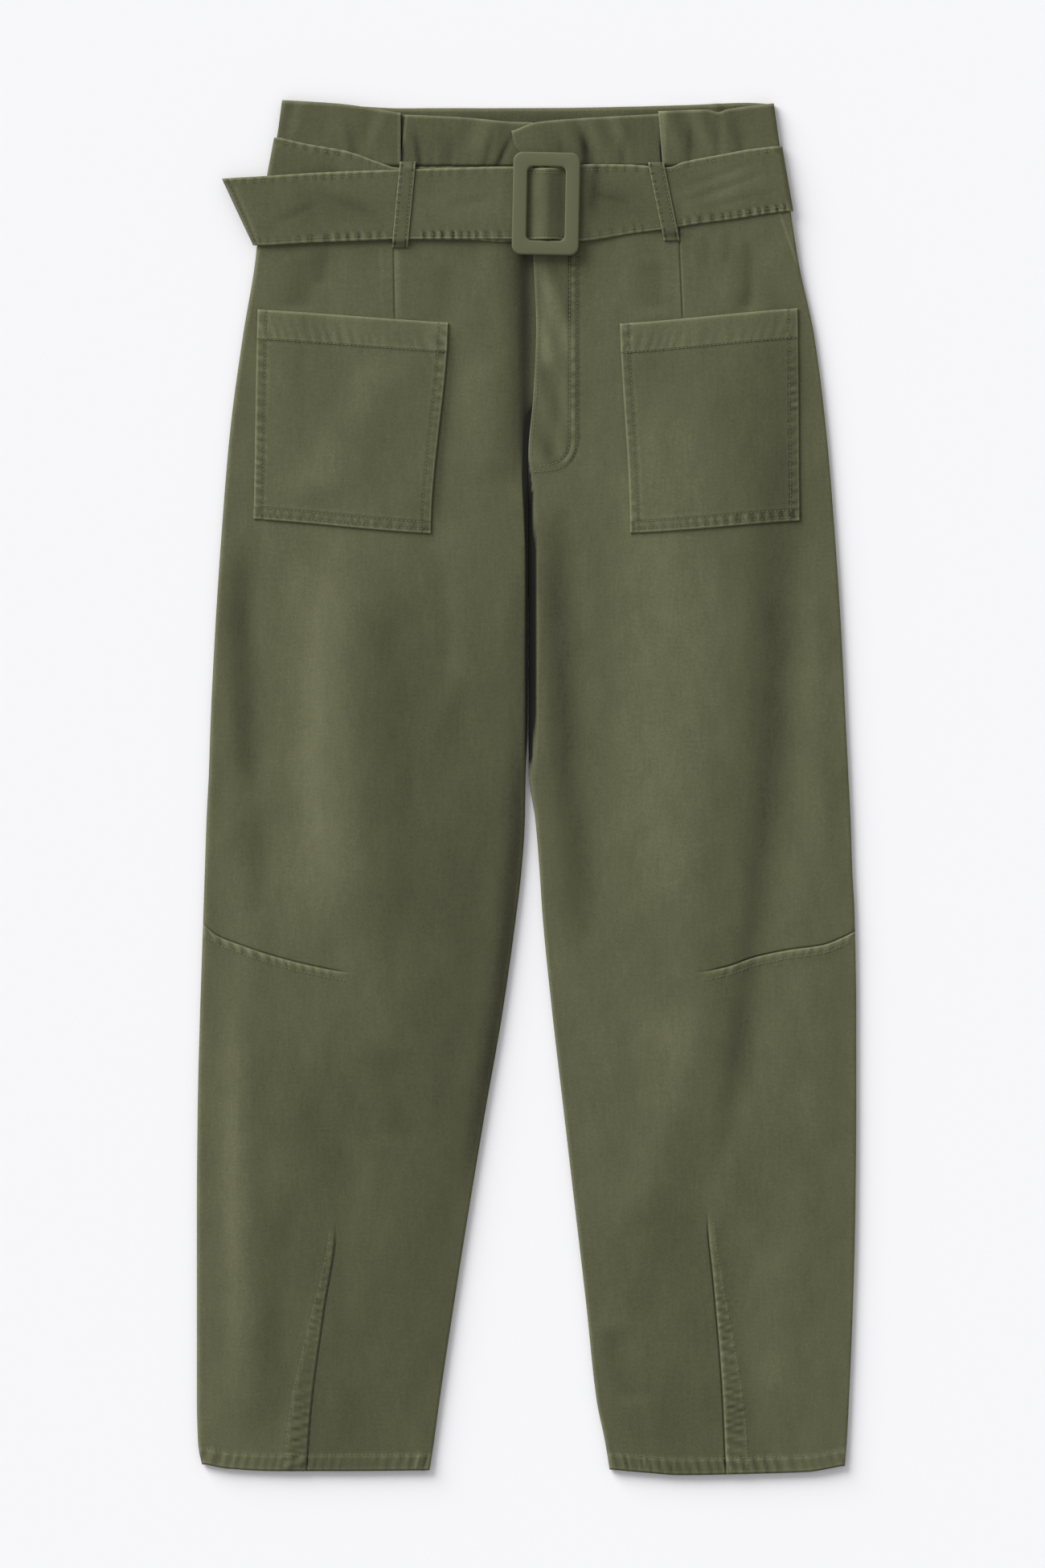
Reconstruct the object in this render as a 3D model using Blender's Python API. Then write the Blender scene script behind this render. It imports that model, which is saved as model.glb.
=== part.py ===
# Barrel-leg trousers with a paper-bag waist, laid on their back on a flat surface.
#
# The script works in millimetres and turns them into metres where it makes a mesh.
# X runs across, +Y towards the waist, +Z up. The wearer's right leg is at -X.
# The origin is below the middle of the outline. s is the distance outwards from the
# centre line, so that x = s * sign with sign -1 for the right leg and +1 for the left.

import math
from collections import namedtuple

import bmesh
import bpy

MM = 0.001

# ---- Driving sizes, mm ------------------------------------------------------------
PANEL_WALL = 1.4        # leg panels: twill with its seam bulk
FRILL_WALL = 1.0
BAND_WALL = 1.2
POCKET_WALL = 1.2
BELT_WALL = 1.3
LOOP_WALL = 1.0
SEAM_GAP = 0.3          # between pieces that are sewn together or lie on each other

FRONT_TOP = 4.6         # height of the front's face over the surface, legs lying flat
FRONT_LOWEST = 3.3      # its troughs stay clear of the back
SIDE_SEAM_UP = 2.4      # height of the side seams and inseams
SIDE_ROLL = 3.0         # how far in the cloth rounds over at the side seam
WAIST_SEAM_Y = 416.7    # body to waistband
FRILL_SEAM_Y = 463.5    # waistband to frill
LEFT_SEAM_RISE = 17.0   # the left front's waist seam climbs under the belt towards its side
FRONT_WAIST_LIFT = 1.4  # the front lies higher over the belt and the back
BACK_WAIST_LIFT = 1.6   # the back lies on the belt
CROTCH_Y = 155.7
HEM_DEPTH = 12.6
HEM_RIDGE = 0.4         # the hem turned up inside
POCKET_HEM = 22.0
GROOVE_HALF = 1.6       # half width of a dart's groove
GROOVE_DEEP = 0.7
DART_RIDGE = 0.5        # the dart's intake pressed to one side
BACK_LOOP_X = 60.0
BACK_LOOP_LIFT = LOOP_WALL + SEAM_GAP

# ---- The outline, a row for each section across the legs: s of each edge -----------
LegRow = namedtuple("LegRow", "y right_side right_inseam left_inseam left_side")
LEG_ROWS = [
    LegRow(416.7, 200.1, -0.85, 1.15, 198.6),
    LegRow(389.7, 203.1, -0.85, 1.15, 203.1),
    LegRow(335.7, 212.1, -0.85, 1.15, 214.5),
    LegRow(263.7, 221.7, -0.85, 1.15, 223.5),
    LegRow(191.7, 227.7, -0.85, 1.15, 229.5),
    LegRow(119.7, 232.5, -0.85, 1.15, 234.3),
    LegRow(47.7, 236.1, -0.6, 1.15, 237.9),
    LegRow(11.7, 237.3, 0.9, 1.3, 239.7),
    LegRow(-24.3, 239.1, 1.5, 6.3, 241.5),
    LegRow(-60.3, 240.3, 3.9, 9.3, 242.7),
    LegRow(-96.3, 241.5, 8.1, 11.7, 244.5),
    LegRow(-168.3, 243.9, 18.3, 18.9, 245.7),
    LegRow(-240.3, 245.7, 30.9, 27.3, 245.7),
    LegRow(-312.3, 246.3, 42.9, 35.7, 245.1),
    LegRow(-384.3, 246.3, 54.3, 44.1, 243.3),
    LegRow(-456.3, 246.3, 65.1, 51.9, 240.3),
    LegRow(-489.0, 245.4, 69.5, 58.5, 238.6),
    LegRow(-513.0, 240.5, 73.2, 62.3, 236.6),
]

# Lines on each leg. The ones along a leg give s at a height y; those across give y at s.
Line = namedtuple("Line", "points")
LEGS = {
    "right": {
        "sign": -1,
        "side": Line([(r.y, r.right_side) for r in LEG_ROWS]),
        "inseam": Line([(r.y, r.right_inseam) for r in LEG_ROWS]),
        "pocket_outer": Line([(416.7, 187.0), (356.6, 200.8), (200.2, 203.9), (-100, 214.0),
                              (-513, 222.0)]),
        "pocket_inner": Line([(416.7, 58.0), (346.8, 58.7), (189.4, 71.5), (-24, 68.0),
                              (-168, 76.0), (-513, 118.0)]),
        "hem_dart": Line([(416.7, 124.0), (350, 130.0), (200, 137.0), (-100, 140.0), (-326.1, 142.5),
                          (-391.5, 151.8), (-462.3, 161.1), (-513, 165.0)]),
        "fly_line": Line([(416.7, 9.0), (240, 9.0), (100, 12.0), (-60, 18.0), (-168, 30.0),
                          (-513, 84.0)]),
        "mouth": Line([(0.0, 344.0), (58.7, 346.8), (200.8, 356.6), (230.0, 358.0)]),
        "pocket_foot": Line([(0.0, 187.0), (71.5, 189.4), (203.9, 200.2), (240.0, 202.0)]),
        "knee_dart": Line([(0.0, -142.0), (132.3, -137.7), (159.9, -132.9), (188.1, -125.7),
                           (216.9, -116.1), (231.3, -110.1), (241.1, -102.0)]),
        "hem": Line([(73.0, -509.1), (139.0, -509.7), (187.0, -509.7), (223.0, -507.9),
                     (241.0, -504.5)]),
        "knee_tip": 132.3,
        "dart_tip": -326.1,
    },
    "left": {
        "sign": 1,
        "side": Line([(r.y, r.left_side) for r in LEG_ROWS]),
        "inseam": Line([(r.y, r.left_inseam) for r in LEG_ROWS]),
        "pocket_outer": Line([(416.7, 187.0), (357.5, 201.9), (199.1, 203.6), (-100, 212.0),
                              (-513, 216.0)]),
        "pocket_inner": Line([(416.7, 68.0), (346.0, 69.3), (189.7, 76.9), (-24, 74.0),
                              (-168, 80.0), (-513, 108.0)]),
        "hem_dart": Line([(416.7, 130.0), (350, 135.0), (200, 135.0), (-100, 134.0), (-317.7, 134.7),
                          (-372.9, 139.5), (-445.5, 145.5), (-513, 148.6)]),
        "fly_line": Line([(416.7, 38.0), (262, 38.0), (100, 30.0), (-60, 30.0), (-168, 36.0),
                          (-513, 78.0)]),
        "mouth": Line([(0.0, 343.0), (69.3, 346.0), (201.9, 357.5), (230.0, 359.0)]),
        "pocket_foot": Line([(0.0, 188.0), (76.9, 189.7), (203.6, 199.1), (240.0, 201.0)]),
        "knee_dart": Line([(0.0, -142.0), (128.7, -137.4), (149.1, -133.5), (170.1, -126.3),
                           (196.8, -120.7), (220.5, -117.3), (234.9, -111.9), (245.1, -106.8)]),
        "hem": Line([(62.0, -508.5), (90.0, -511.0), (114.0, -512.7), (176.0, -511.5), (210.0, -510.3),
                     (222.0, -508.5), (234.0, -506.1)]),
        "knee_tip": 128.7,
        "dart_tip": -317.7,
    },
}

# The main folds of the fronts: a soft ridge (+) or trough (-) along a curve, in s and y.
Fold = namedtuple("Fold", "leg top_s top_y mid_s low_s low_y wide_in wide_out taper height")
FOLDS = [
    Fold("right", 128, 215, 150, 140, -125, 30, 18, 0.0, 1.1),
    Fold("right", 92, 190, 96, 84, -150, 20, 24, 0.0, -0.8),
    Fold("right", 208, 200, 210, 200, -20, 12, 10, 0.0, -0.9),
    Fold("right", 196, -5, 196, 200, -105, 10, 10, 0.0, -0.6),
    Fold("right", 216, -125, 215, 213, -480, 16, 9, 0.0, 0.8),
    Fold("right", 176, -290, 184, 188, -500, 12, 14, 0.0, -0.6),
    Fold("right", 98, -200, 96, 92, -262, 16, 20, 0.0, -0.8),
    Fold("right", 158, 400, 166, 172, 352, 14, 14, 0.0, -0.7),
    Fold("right", 62, 392, 60, 66, 340, 9, 12, 0.0, -0.6),
    Fold("right", 100, 330, 130, 170, 205, 22, 22, 0.0, 0.6),
    Fold("left", 27, 225, 31, 50, -120, 10, 11, 0.0, -0.9),
    Fold("left", 112, 330, 104, 112, -130, 34, 38, 0.0, 1.1),
    Fold("left", 186, 300, 184, 137, -322, 15, 26, 0.55, -1.4),
    Fold("left", 120, -150, 104, 86, -330, 22, 22, 0.0, 0.7),
    Fold("left", 66, -400, 72, 84, -462, 10, 12, 0.0, -0.6),
    Fold("left", 166, 412, 166, 164, 352, 9, 9, 0.0, -0.9),
    Fold("left", 94, 395, 95, 98, 352, 9, 9, 0.0, -0.6),
]

# The fly: the left front laps over the right one. Edge of the upper layer, x at y.
LAP_EDGE = Line([(230.0, 1.15), (247.5, 1.15), (296.0, 5.0), (343.0, 6.9), (398.0, 4.5),
                 (440.0, 1.5), (473.7, -3.3), (489.9, -9.3), (513.0, -12.0)])
UNDERLAP = 16.0         # how far the lower layer reaches under the upper one
FLY_ROWS_Y = (262.0, 238.0, 212.0)     # underlap ends, lap ends, both fronts rounded down
FLY_WIDE = 37.5
FLY_FOOT_Y = 235.5


def smooth(a, b, value):
    """0 below a, 1 above b and a soft step between; a may be the larger one."""
    t = min(1.0, max(0.0, (value - a) / (b - a)))
    return t * t * (3 - 2 * t)


def at(line, value):
    """The line's second column at a value of its first, through its points without overshoot."""
    points = sorted(line.points)
    if value <= points[0][0]:
        return points[0][1]
    if value >= points[-1][0]:
        return points[-1][1]
    k = max(i for i, p in enumerate(points) if p[0] <= value)
    k = min(k, len(points) - 2)
    slopes = []
    for m in (k, k + 1):
        if m in (0, len(points) - 1):
            n = min(m, len(points) - 2)
            slopes.append((points[n + 1][1] - points[n][1]) / (points[n + 1][0] - points[n][0]))
            continue
        before = (points[m][1] - points[m - 1][1]) / (points[m][0] - points[m - 1][0])
        after = (points[m + 1][1] - points[m][1]) / (points[m + 1][0] - points[m][0])
        slopes.append(0.0 if before * after <= 0 else 2 * before * after / (before + after))
    step = points[k + 1][0] - points[k][0]
    t = (value - points[k][0]) / step
    return (
        points[k][1] * (1 + 2 * t) * (1 - t) ** 2
        + slopes[0] * step * t * (1 - t) ** 2
        + points[k + 1][1] * t * t * (3 - 2 * t)
        + slopes[1] * step * t * t * (t - 1)
    )


# ---- Heights ----------------------------------------------------------------------
def fold_height(fold, s, y):
    t = (fold.top_y - y) / (fold.top_y - fold.low_y)
    if not 0 < t < 1:
        return 0.0
    centre = (
        fold.top_s * (1 - t) * (1 - 2 * t) + fold.mid_s * 4 * t * (1 - t) + fold.low_s * t * (2 * t - 1)
    )
    wide = (fold.wide_out if s > centre else fold.wide_in) * (1 - fold.taper * t)
    along = smooth(0, 0.25, t) * smooth(1, 0.8, t)
    return fold.height * along * math.exp(-(((s - centre) / wide) ** 2))


def fly_share(s, y):
    """1 inside the J-shaped stitching of the fly, 0 outside it."""
    reach = max(0.0, s / FLY_WIDE) ** 3 + max(0.0, (FLY_FOOT_Y + 27 - y) / 27) ** 3
    return smooth(1.12, 0.88, reach)


def dart_height(leg, s, y):
    """The groove of the knee dart and of the hem dart, with the pressed intake beside it."""
    line = LEGS[leg]
    below = at(line["knee_dart"], s) - y
    knee = smooth(line["knee_tip"] - 4, line["knee_tip"] + 14, s)
    height = knee * (
        DART_RIDGE * smooth(0, GROOVE_HALF, below) * smooth(11, 7, below)
        - GROOVE_DEEP * smooth(GROOVE_HALF, 0, abs(below))
    )
    outside = s - at(line["hem_dart"], y)
    hem = smooth(line["dart_tip"] + 4, line["dart_tip"] - 14, y)
    wide = 5 + 12 * smooth(line["dart_tip"], -500, y)
    return height + hem * (
        DART_RIDGE * smooth(0, GROOVE_HALF, outside) * smooth(wide + 4, wide, outside)
        - GROOVE_DEEP * smooth(GROOVE_HALF, 0, abs(outside))
    )


def front_height(leg, s, y):
    """Height of the face of a front panel, its waistband and the foot of its frill."""
    height = FRONT_TOP + FRONT_WAIST_LIFT * smooth(352, 412, y)
    height += sum(fold_height(f, s, y) for f in FOLDS if f.leg == leg)
    height += dart_height(leg, s, y)
    hem_line = at(LEGS[leg]["hem"], s) + HEM_DEPTH
    height += HEM_RIDGE * smooth(hem_line + 3, hem_line - 2, y)
    if leg == "right":
        height -= 1.3 * smooth(28, 8, s) * smooth(212, 236, y)
        height += 1.2 * smooth(46, 6, s) * smooth(238, 205, y) * smooth(-70, 10, y)
    else:
        height += 0.5 * fly_share(s, y)
        height += 0.9 * smooth(40, 8, s) * smooth(228, 200, y) * smooth(-50, 20, y)
    return max(height, FRONT_LOWEST)


def back_height(y, x=0.0):
    """Height of the outside of the back, which rests on the surface or on the belt."""
    lift = BACK_WAIST_LIFT * smooth(392, 415, y) * smooth(509, 494, y)
    over_loop = smooth(28, 13, abs(abs(x) - BACK_LOOP_X))
    return lift + BACK_LOOP_LIFT * over_loop * smooth(395, 415, y) * smooth(509, 495, y)


# ---- Making cloth -----------------------------------------------------------------
def material(name, colour, roughness):
    made = bpy.data.materials.new(name)
    made.use_nodes = True
    shader = made.node_tree.nodes["Principled BSDF"]
    shader.inputs["Base Color"].default_value = (*colour, 1.0)
    shader.inputs["Roughness"].default_value = roughness
    shader.inputs["Metallic"].default_value = 0.0
    return made


def cloth(name, columns, rows, place, wall, finish, turned=False, centred=False):
    """A grid warped by place(column, row), in mm, and thickened on the side away from its face."""
    shape = bmesh.new()
    bmesh.ops.create_grid(shape, x_segments=columns, y_segments=rows, size=0.5)
    for vert in shape.verts:
        column = round((vert.co.x + 0.5) * columns)
        row = round((vert.co.y + 0.5) * rows)
        vert.co = [value * MM for value in place(column, row)]
    if turned:
        bmesh.ops.reverse_faces(shape, faces=shape.faces)
    mesh = bpy.data.meshes.new(name)
    shape.to_mesh(mesh)
    shape.free()
    mesh.materials.append(finish)
    mesh.shade_smooth()
    piece = bpy.data.objects.new(name, mesh)
    bpy.context.scene.collection.objects.link(piece)
    thick = piece.modifiers.new("wall", "SOLIDIFY")
    thick.thickness = wall * MM
    thick.offset = 0.0 if centred else -1.0
    thick.use_even_offset = False
    return piece


def spread(stops):
    """Positions (guide, share) along guides: stops gives how many steps follow each guide."""
    found = []
    for guide, steps in enumerate(stops):
        found += [(guide, k / steps) for k in range(steps)]
    return found + [(len(stops) - 1, 1.0)]


ROLL_STEPS = 3
FRONT_COLUMNS = spread([2, 4, 3, 1, 1, 3, 2])
FRONT_ROWS = spread([3, 1, 2, 1, 1, 1, 8, 1, 1, 9, 1])


def roll(step, height, bottom):
    """A step round an edge: the share of its width still to go, and its height. It ends upright."""
    turn = min(step / (ROLL_STEPS - 1), 1) * math.pi / 2
    upright = 0.4 if step < ROLL_STEPS else 0.0
    return 1 - math.sin(turn), bottom + upright + (height - bottom - upright) * math.cos(turn)


def roll_up(step, height, top):
    across, rolled = roll(step, -height, -top)
    return across, -rolled


def inner_edge(leg, y):
    """s of a front panel's inner edge: the inseam, and at the fly the lap or the layer below it."""
    inseam = at(LEGS[leg]["inseam"], y)
    if leg == "left":
        return inseam + (at(LAP_EDGE, y) - inseam) * smooth(FLY_ROWS_Y[2], FLY_ROWS_Y[1], y)
    below = -at(LAP_EDGE, y) - UNDERLAP
    return inseam + (below - inseam) * smooth(FLY_ROWS_Y[1], FLY_ROWS_Y[0], y)


def inner_roll(leg, y):
    """How far in the face rounds over at the inner edge, and how much of the way down it goes."""
    wide = 2.4 + (4.5 if leg == "left" else 0.6) * smooth(-40, 40, y)
    down = smooth(*FLY_ROWS_Y[1:], y) if leg == "left" else smooth(*FLY_ROWS_Y[:2], y)
    return wide, down


def waist_seam(leg, s):
    return WAIST_SEAM_Y + (LEFT_SEAM_RISE * smooth(75, 175, s) if leg == "left" else 0.0)


def side_edge(leg, y):
    return at(WAIST_SIDE[leg] if y > WAIST_SEAM_Y else LEGS[leg]["side"], y)


def column_guides(leg, y):
    line = LEGS[leg]
    spare = 10.0 * smooth(line["dart_tip"], line["dart_tip"] + 60, y) + GROOVE_HALF
    dart = at(line["hem_dart"], y)
    inner = inner_edge(leg, y) + inner_roll(leg, y)[0]
    return [
        inner, max(at(line["fly_line"], y), inner + 6), at(line["pocket_inner"], y), dart - spare,
        dart, dart + spare, at(line["pocket_outer"], y), side_edge(leg, y) - SIDE_ROLL,
    ]


def row_guides(leg, s, seam_y):
    line = LEGS[leg]
    knee = at(line["knee_dart"], s)
    spare = 8.0 * smooth(line["knee_tip"], line["knee_tip"] - 40, s) + GROOVE_HALF
    mouth = at(line["mouth"], s)
    hem = at(line["hem"], s)
    return [
        seam_y - SEAM_GAP, mouth, mouth - POCKET_HEM, *FLY_ROWS_Y, at(line["pocket_foot"], s),
        knee + spare, knee, knee - spare, hem + HEM_DEPTH, hem,
    ]


def between(guides, position):
    guide, share = position
    return guides[guide] * (1 - share) + guides[guide + 1] * share


def front_point(leg, column, row):
    """A point on a front panel's face. Columns count from the inner edge, rows from the hem."""
    row_at = FRONT_ROWS[len(FRONT_ROWS) - 1 - row]
    body = min(max(column - ROLL_STEPS, 0), len(FRONT_COLUMNS) - 1)
    column_at = FRONT_COLUMNS[body]
    s, y = 120.0, 0.0
    for _ in range(5):
        y = between(row_guides(leg, s, waist_seam(leg, s)), row_at)
        s = between(column_guides(leg, y), column_at)
    y = between(row_guides(leg, s, waist_seam(leg, s)), row_at)
    if column < ROLL_STEPS:
        wide, down = inner_roll(leg, y)
        s = inner_edge(leg, y) + wide * column / ROLL_STEPS
        across, rolled = roll(ROLL_STEPS - column, front_height(leg, s, y), SIDE_SEAM_UP + SEAM_GAP / 2)
        s += (inner_edge(leg, y) + wide * across - s) * down
        face = front_height(leg, s, y)
        height = face + (rolled - face) * down
    elif column > ROLL_STEPS + len(FRONT_COLUMNS) - 1:
        step = column - ROLL_STEPS - len(FRONT_COLUMNS) + 1
        across, height = roll(step, front_height(leg, s, y), side_seam_up(y) + SEAM_GAP / 2)
        s = side_edge(leg, y) - SIDE_ROLL * across
    else:
        height = front_height(leg, s, y)
    return s * LEGS[leg]["sign"], y, height


def side_seam_up(y):
    return SIDE_SEAM_UP + back_height(y)


def front_panel(leg, finish):
    columns = len(FRONT_COLUMNS) - 1 + 2 * ROLL_STEPS
    rows = len(FRONT_ROWS) - 1

    def place(column, row):
        return front_point(leg, column, row)

    return cloth("front_" + leg, columns, rows, place, PANEL_WALL, finish, turned=leg == "right")


# Columns and rows of the front grid that a pocket covers
POCKET_COLUMNS = (FRONT_COLUMNS.index((2, 0.0)) + ROLL_STEPS, FRONT_COLUMNS.index((6, 0.0)) + ROLL_STEPS)
POCKET_ROWS = (
    len(FRONT_ROWS) - 1 - FRONT_ROWS.index((6, 0.0)),
    len(FRONT_ROWS) - 1 - FRONT_ROWS.index((1, 0.0)),
)


def pocket(leg, finish):
    """A patch on the front: the panel's own points, moved out."""
    first, last = POCKET_COLUMNS
    low, high = POCKET_ROWS

    def place(column, row):
        x, y, height = front_point(leg, first + column, low + row)
        return x, y, height + SEAM_GAP + POCKET_WALL

    columns, rows = last - first, high - low
    return cloth("pocket_" + leg, columns, rows, place, POCKET_WALL, finish, turned=leg == "right")


BACK_BODY_COLUMNS = 9
BACK_INNER_ROLL = 2.2


def back_panel(leg, finish):
    """A back panel: flat where it rests, rounding up to the side seam and the inseam."""
    line = LEGS[leg]
    sign = line["sign"]

    def place(column, row):
        y = 0.0
        row_at = FRONT_ROWS[len(FRONT_ROWS) - 1 - row]
        body = min(max((column - ROLL_STEPS) / BACK_BODY_COLUMNS, 0), 1)
        for _ in range(3):
            roll_in = BACK_INNER_ROLL * smooth(CROTCH_Y + 14, CROTCH_Y - 6, y)
            inner = at(line["inseam"], y) if y < CROTCH_Y else SEAM_GAP / 2
            inner += (SEAM_GAP / 2 - inner) * smooth(CROTCH_Y - 20, CROTCH_Y, y)
            outer = at(line["side"], y)
            flat_start = BACK_INNER_ROLL - roll_in
            s = inner + BACK_INNER_ROLL + body * (outer - SIDE_ROLL - inner - BACK_INNER_ROLL)
            y = between(row_guides(leg, s, WAIST_SEAM_Y), row_at)
        flat = back_height(y, s * sign)
        seam = flat + SIDE_SEAM_UP - SEAM_GAP / 2
        if column < ROLL_STEPS:
            low_seam = seam - 0.7 * smooth(70, 125, y)
            across, rolled = roll_up(ROLL_STEPS - column, flat, low_seam)
            share_rolled = roll_in / BACK_INNER_ROLL
            s = inner + roll_in * across + flat_start * column / ROLL_STEPS
            return s * sign, y, flat + (rolled - flat) * share_rolled
        if column > ROLL_STEPS + BACK_BODY_COLUMNS:
            across, rolled = roll_up(column - ROLL_STEPS - BACK_BODY_COLUMNS, flat, seam)
            return (outer - SIDE_ROLL * across) * sign, y, rolled
        return s * sign, y, flat

    columns, rows = BACK_BODY_COLUMNS + 2 * ROLL_STEPS, len(FRONT_ROWS) - 1
    return cloth("back_" + leg, columns, rows, place, PANEL_WALL, finish, turned=leg == "left")


# ---- Waistband and frill ----------------------------------------------------------
# s of the side edge of the waistband and of the frill, at y
WAIST_SIDE = {
    "right": Line([(WAIST_SEAM_Y, 200.1), (430.0, 196.5), (456.0, 192.0), (484.5, 186.3),
                   (513.0, 182.1)]),
    "left": Line([(WAIST_SEAM_Y, 198.6), (430.0, 196.6), (456.0, 191.8), (479.0, 188.4),
                  (510.3, 184.0)]),
}
BAND_COLUMNS = 16
BAND_ROWS = 2


def band_front(leg, finish):
    sign = LEGS[leg]["sign"]

    def place(column, row):
        body = min(column / BAND_COLUMNS, 1)
        s = WAIST_SIDE[leg].points[0][1] * body
        for _ in range(3):
            seam_y = waist_seam(leg, s) + SEAM_GAP
            y = seam_y + (FRILL_SEAM_Y - seam_y - SEAM_GAP) * row / BAND_ROWS
            inner = at(LAP_EDGE, y) if leg == "left" else -at(LAP_EDGE, y) - UNDERLAP
            outer = at(WAIST_SIDE[leg], y)
            s = inner + (outer - SIDE_ROLL - inner) * body
        if column <= BAND_COLUMNS:
            return s * sign, y, front_height(leg, s, y) - (PANEL_WALL - BAND_WALL)
        face = front_height(leg, s, y) - (PANEL_WALL - BAND_WALL)
        across, height = roll(column - BAND_COLUMNS, face, side_seam_up(y) + SEAM_GAP / 2)
        return (outer - SIDE_ROLL * across) * sign, y, height

    name, columns = "waistband_front_" + leg, BAND_COLUMNS + ROLL_STEPS
    return cloth(name, columns, BAND_ROWS, place, BAND_WALL, finish, turned=leg == "right")


def side_rolled_back(name, columns, rows, y_at, wall, finish, dent=None):
    """A back strip from side to side, its ends rounding up to the front's."""

    def place(column, row):
        body = min(max((column - ROLL_STEPS) / columns, 0), 1)
        x = 0.0
        for _ in range(3):
            y = y_at(x, row / rows)
            left, right = -at(WAIST_SIDE["right"], y), at(WAIST_SIDE["left"], y)
            x = left + SIDE_ROLL + (right - left - 2 * SIDE_ROLL) * body
        flat = back_height(y, x)
        over = max(ROLL_STEPS - column, column - ROLL_STEPS - columns, 0)
        if over:
            across, height = roll_up(over, flat, flat + SIDE_SEAM_UP - SEAM_GAP / 2)
            edge, inward = (left, 1) if column < ROLL_STEPS else (right, -1)
            return edge + inward * SIDE_ROLL * across, y, height
        return x, y, flat + (dent(x, y) if dent else 0.0)

    return cloth(name, columns + 2 * ROLL_STEPS, rows, place, wall, finish, turned=True)


def band_back(finish):
    def y_at(x, share):
        return WAIST_SEAM_Y + (FRILL_SEAM_Y - WAIST_SEAM_Y - SEAM_GAP) * share

    return side_rolled_back("waistband_back", 30, BAND_ROWS, y_at, BAND_WALL, finish)


BACK_FRILL_TOP = Line([(-186, 509.5), (-144, 509.1), (-93, 506.7), (27, 507.0), (117, 509.1),
                       (165, 510.9), (184, 509.7)])
BACK_TUCKS = (-144.3, 141.3)    # small tucks in the back frill, x
TUCK_DEEP = 1.8
TUCK_HALF = 5.0


def frill_back(finish):
    def y_at(x, share):
        return FRILL_SEAM_Y + (at(BACK_FRILL_TOP, x) - FRILL_SEAM_Y) * share

    def dent(x, y):
        open_ = smooth(FRILL_SEAM_Y, FRILL_SEAM_Y + 20, y)
        return TUCK_DEEP * open_ * sum(smooth(TUCK_HALF, 0, abs(x - tuck)) for tuck in BACK_TUCKS)

    return side_rolled_back("frill_back", 60, 3, y_at, FRILL_WALL, finish, dent)


# The front frill: the outer stretch folds over the inner one in a knife pleat.
PLEAT_DEEP = 6.0
PLEAT_PITCH = 1.2       # from one layer of the pleat to the next
PLEAT_TURN = 3          # steps round each fold
PLEAT_FLOOR = 3.45      # middle of the lowest layer
FRILL_UP = 5.5          # middle of the cloth away from the pleat
FRILL_ROWS = 3
FrillLines = namedtuple("FrillLines", "fold_foot fold_top gap outer_top inner_top inner_up")
FRILLS = {
    "right": FrillLines(94.5, 94.5, 4.2, Line([(94.0, 503.1), (140, 510.0), (182.0, 512.7)]),
                        Line([(-16.0, 496.0), (9.0, 496.5), (50, 500.0), (92.0, 501.9)]), 4.4),
    "left": FrillLines(101.7, 98.5, 0.8, Line([(98.0, 504.4), (134.7, 505.6), (142.5, 503.7),
                                               (150, 506.0), (184.0, 510.3)]),
                       Line([(-10.0, 489.9), (5.7, 495.9), (20.7, 497.7), (98.0, 502.5)]), 5.9),
}
FRILL_CREASE_S = 143.5  # a soft crease in the left frill


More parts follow.
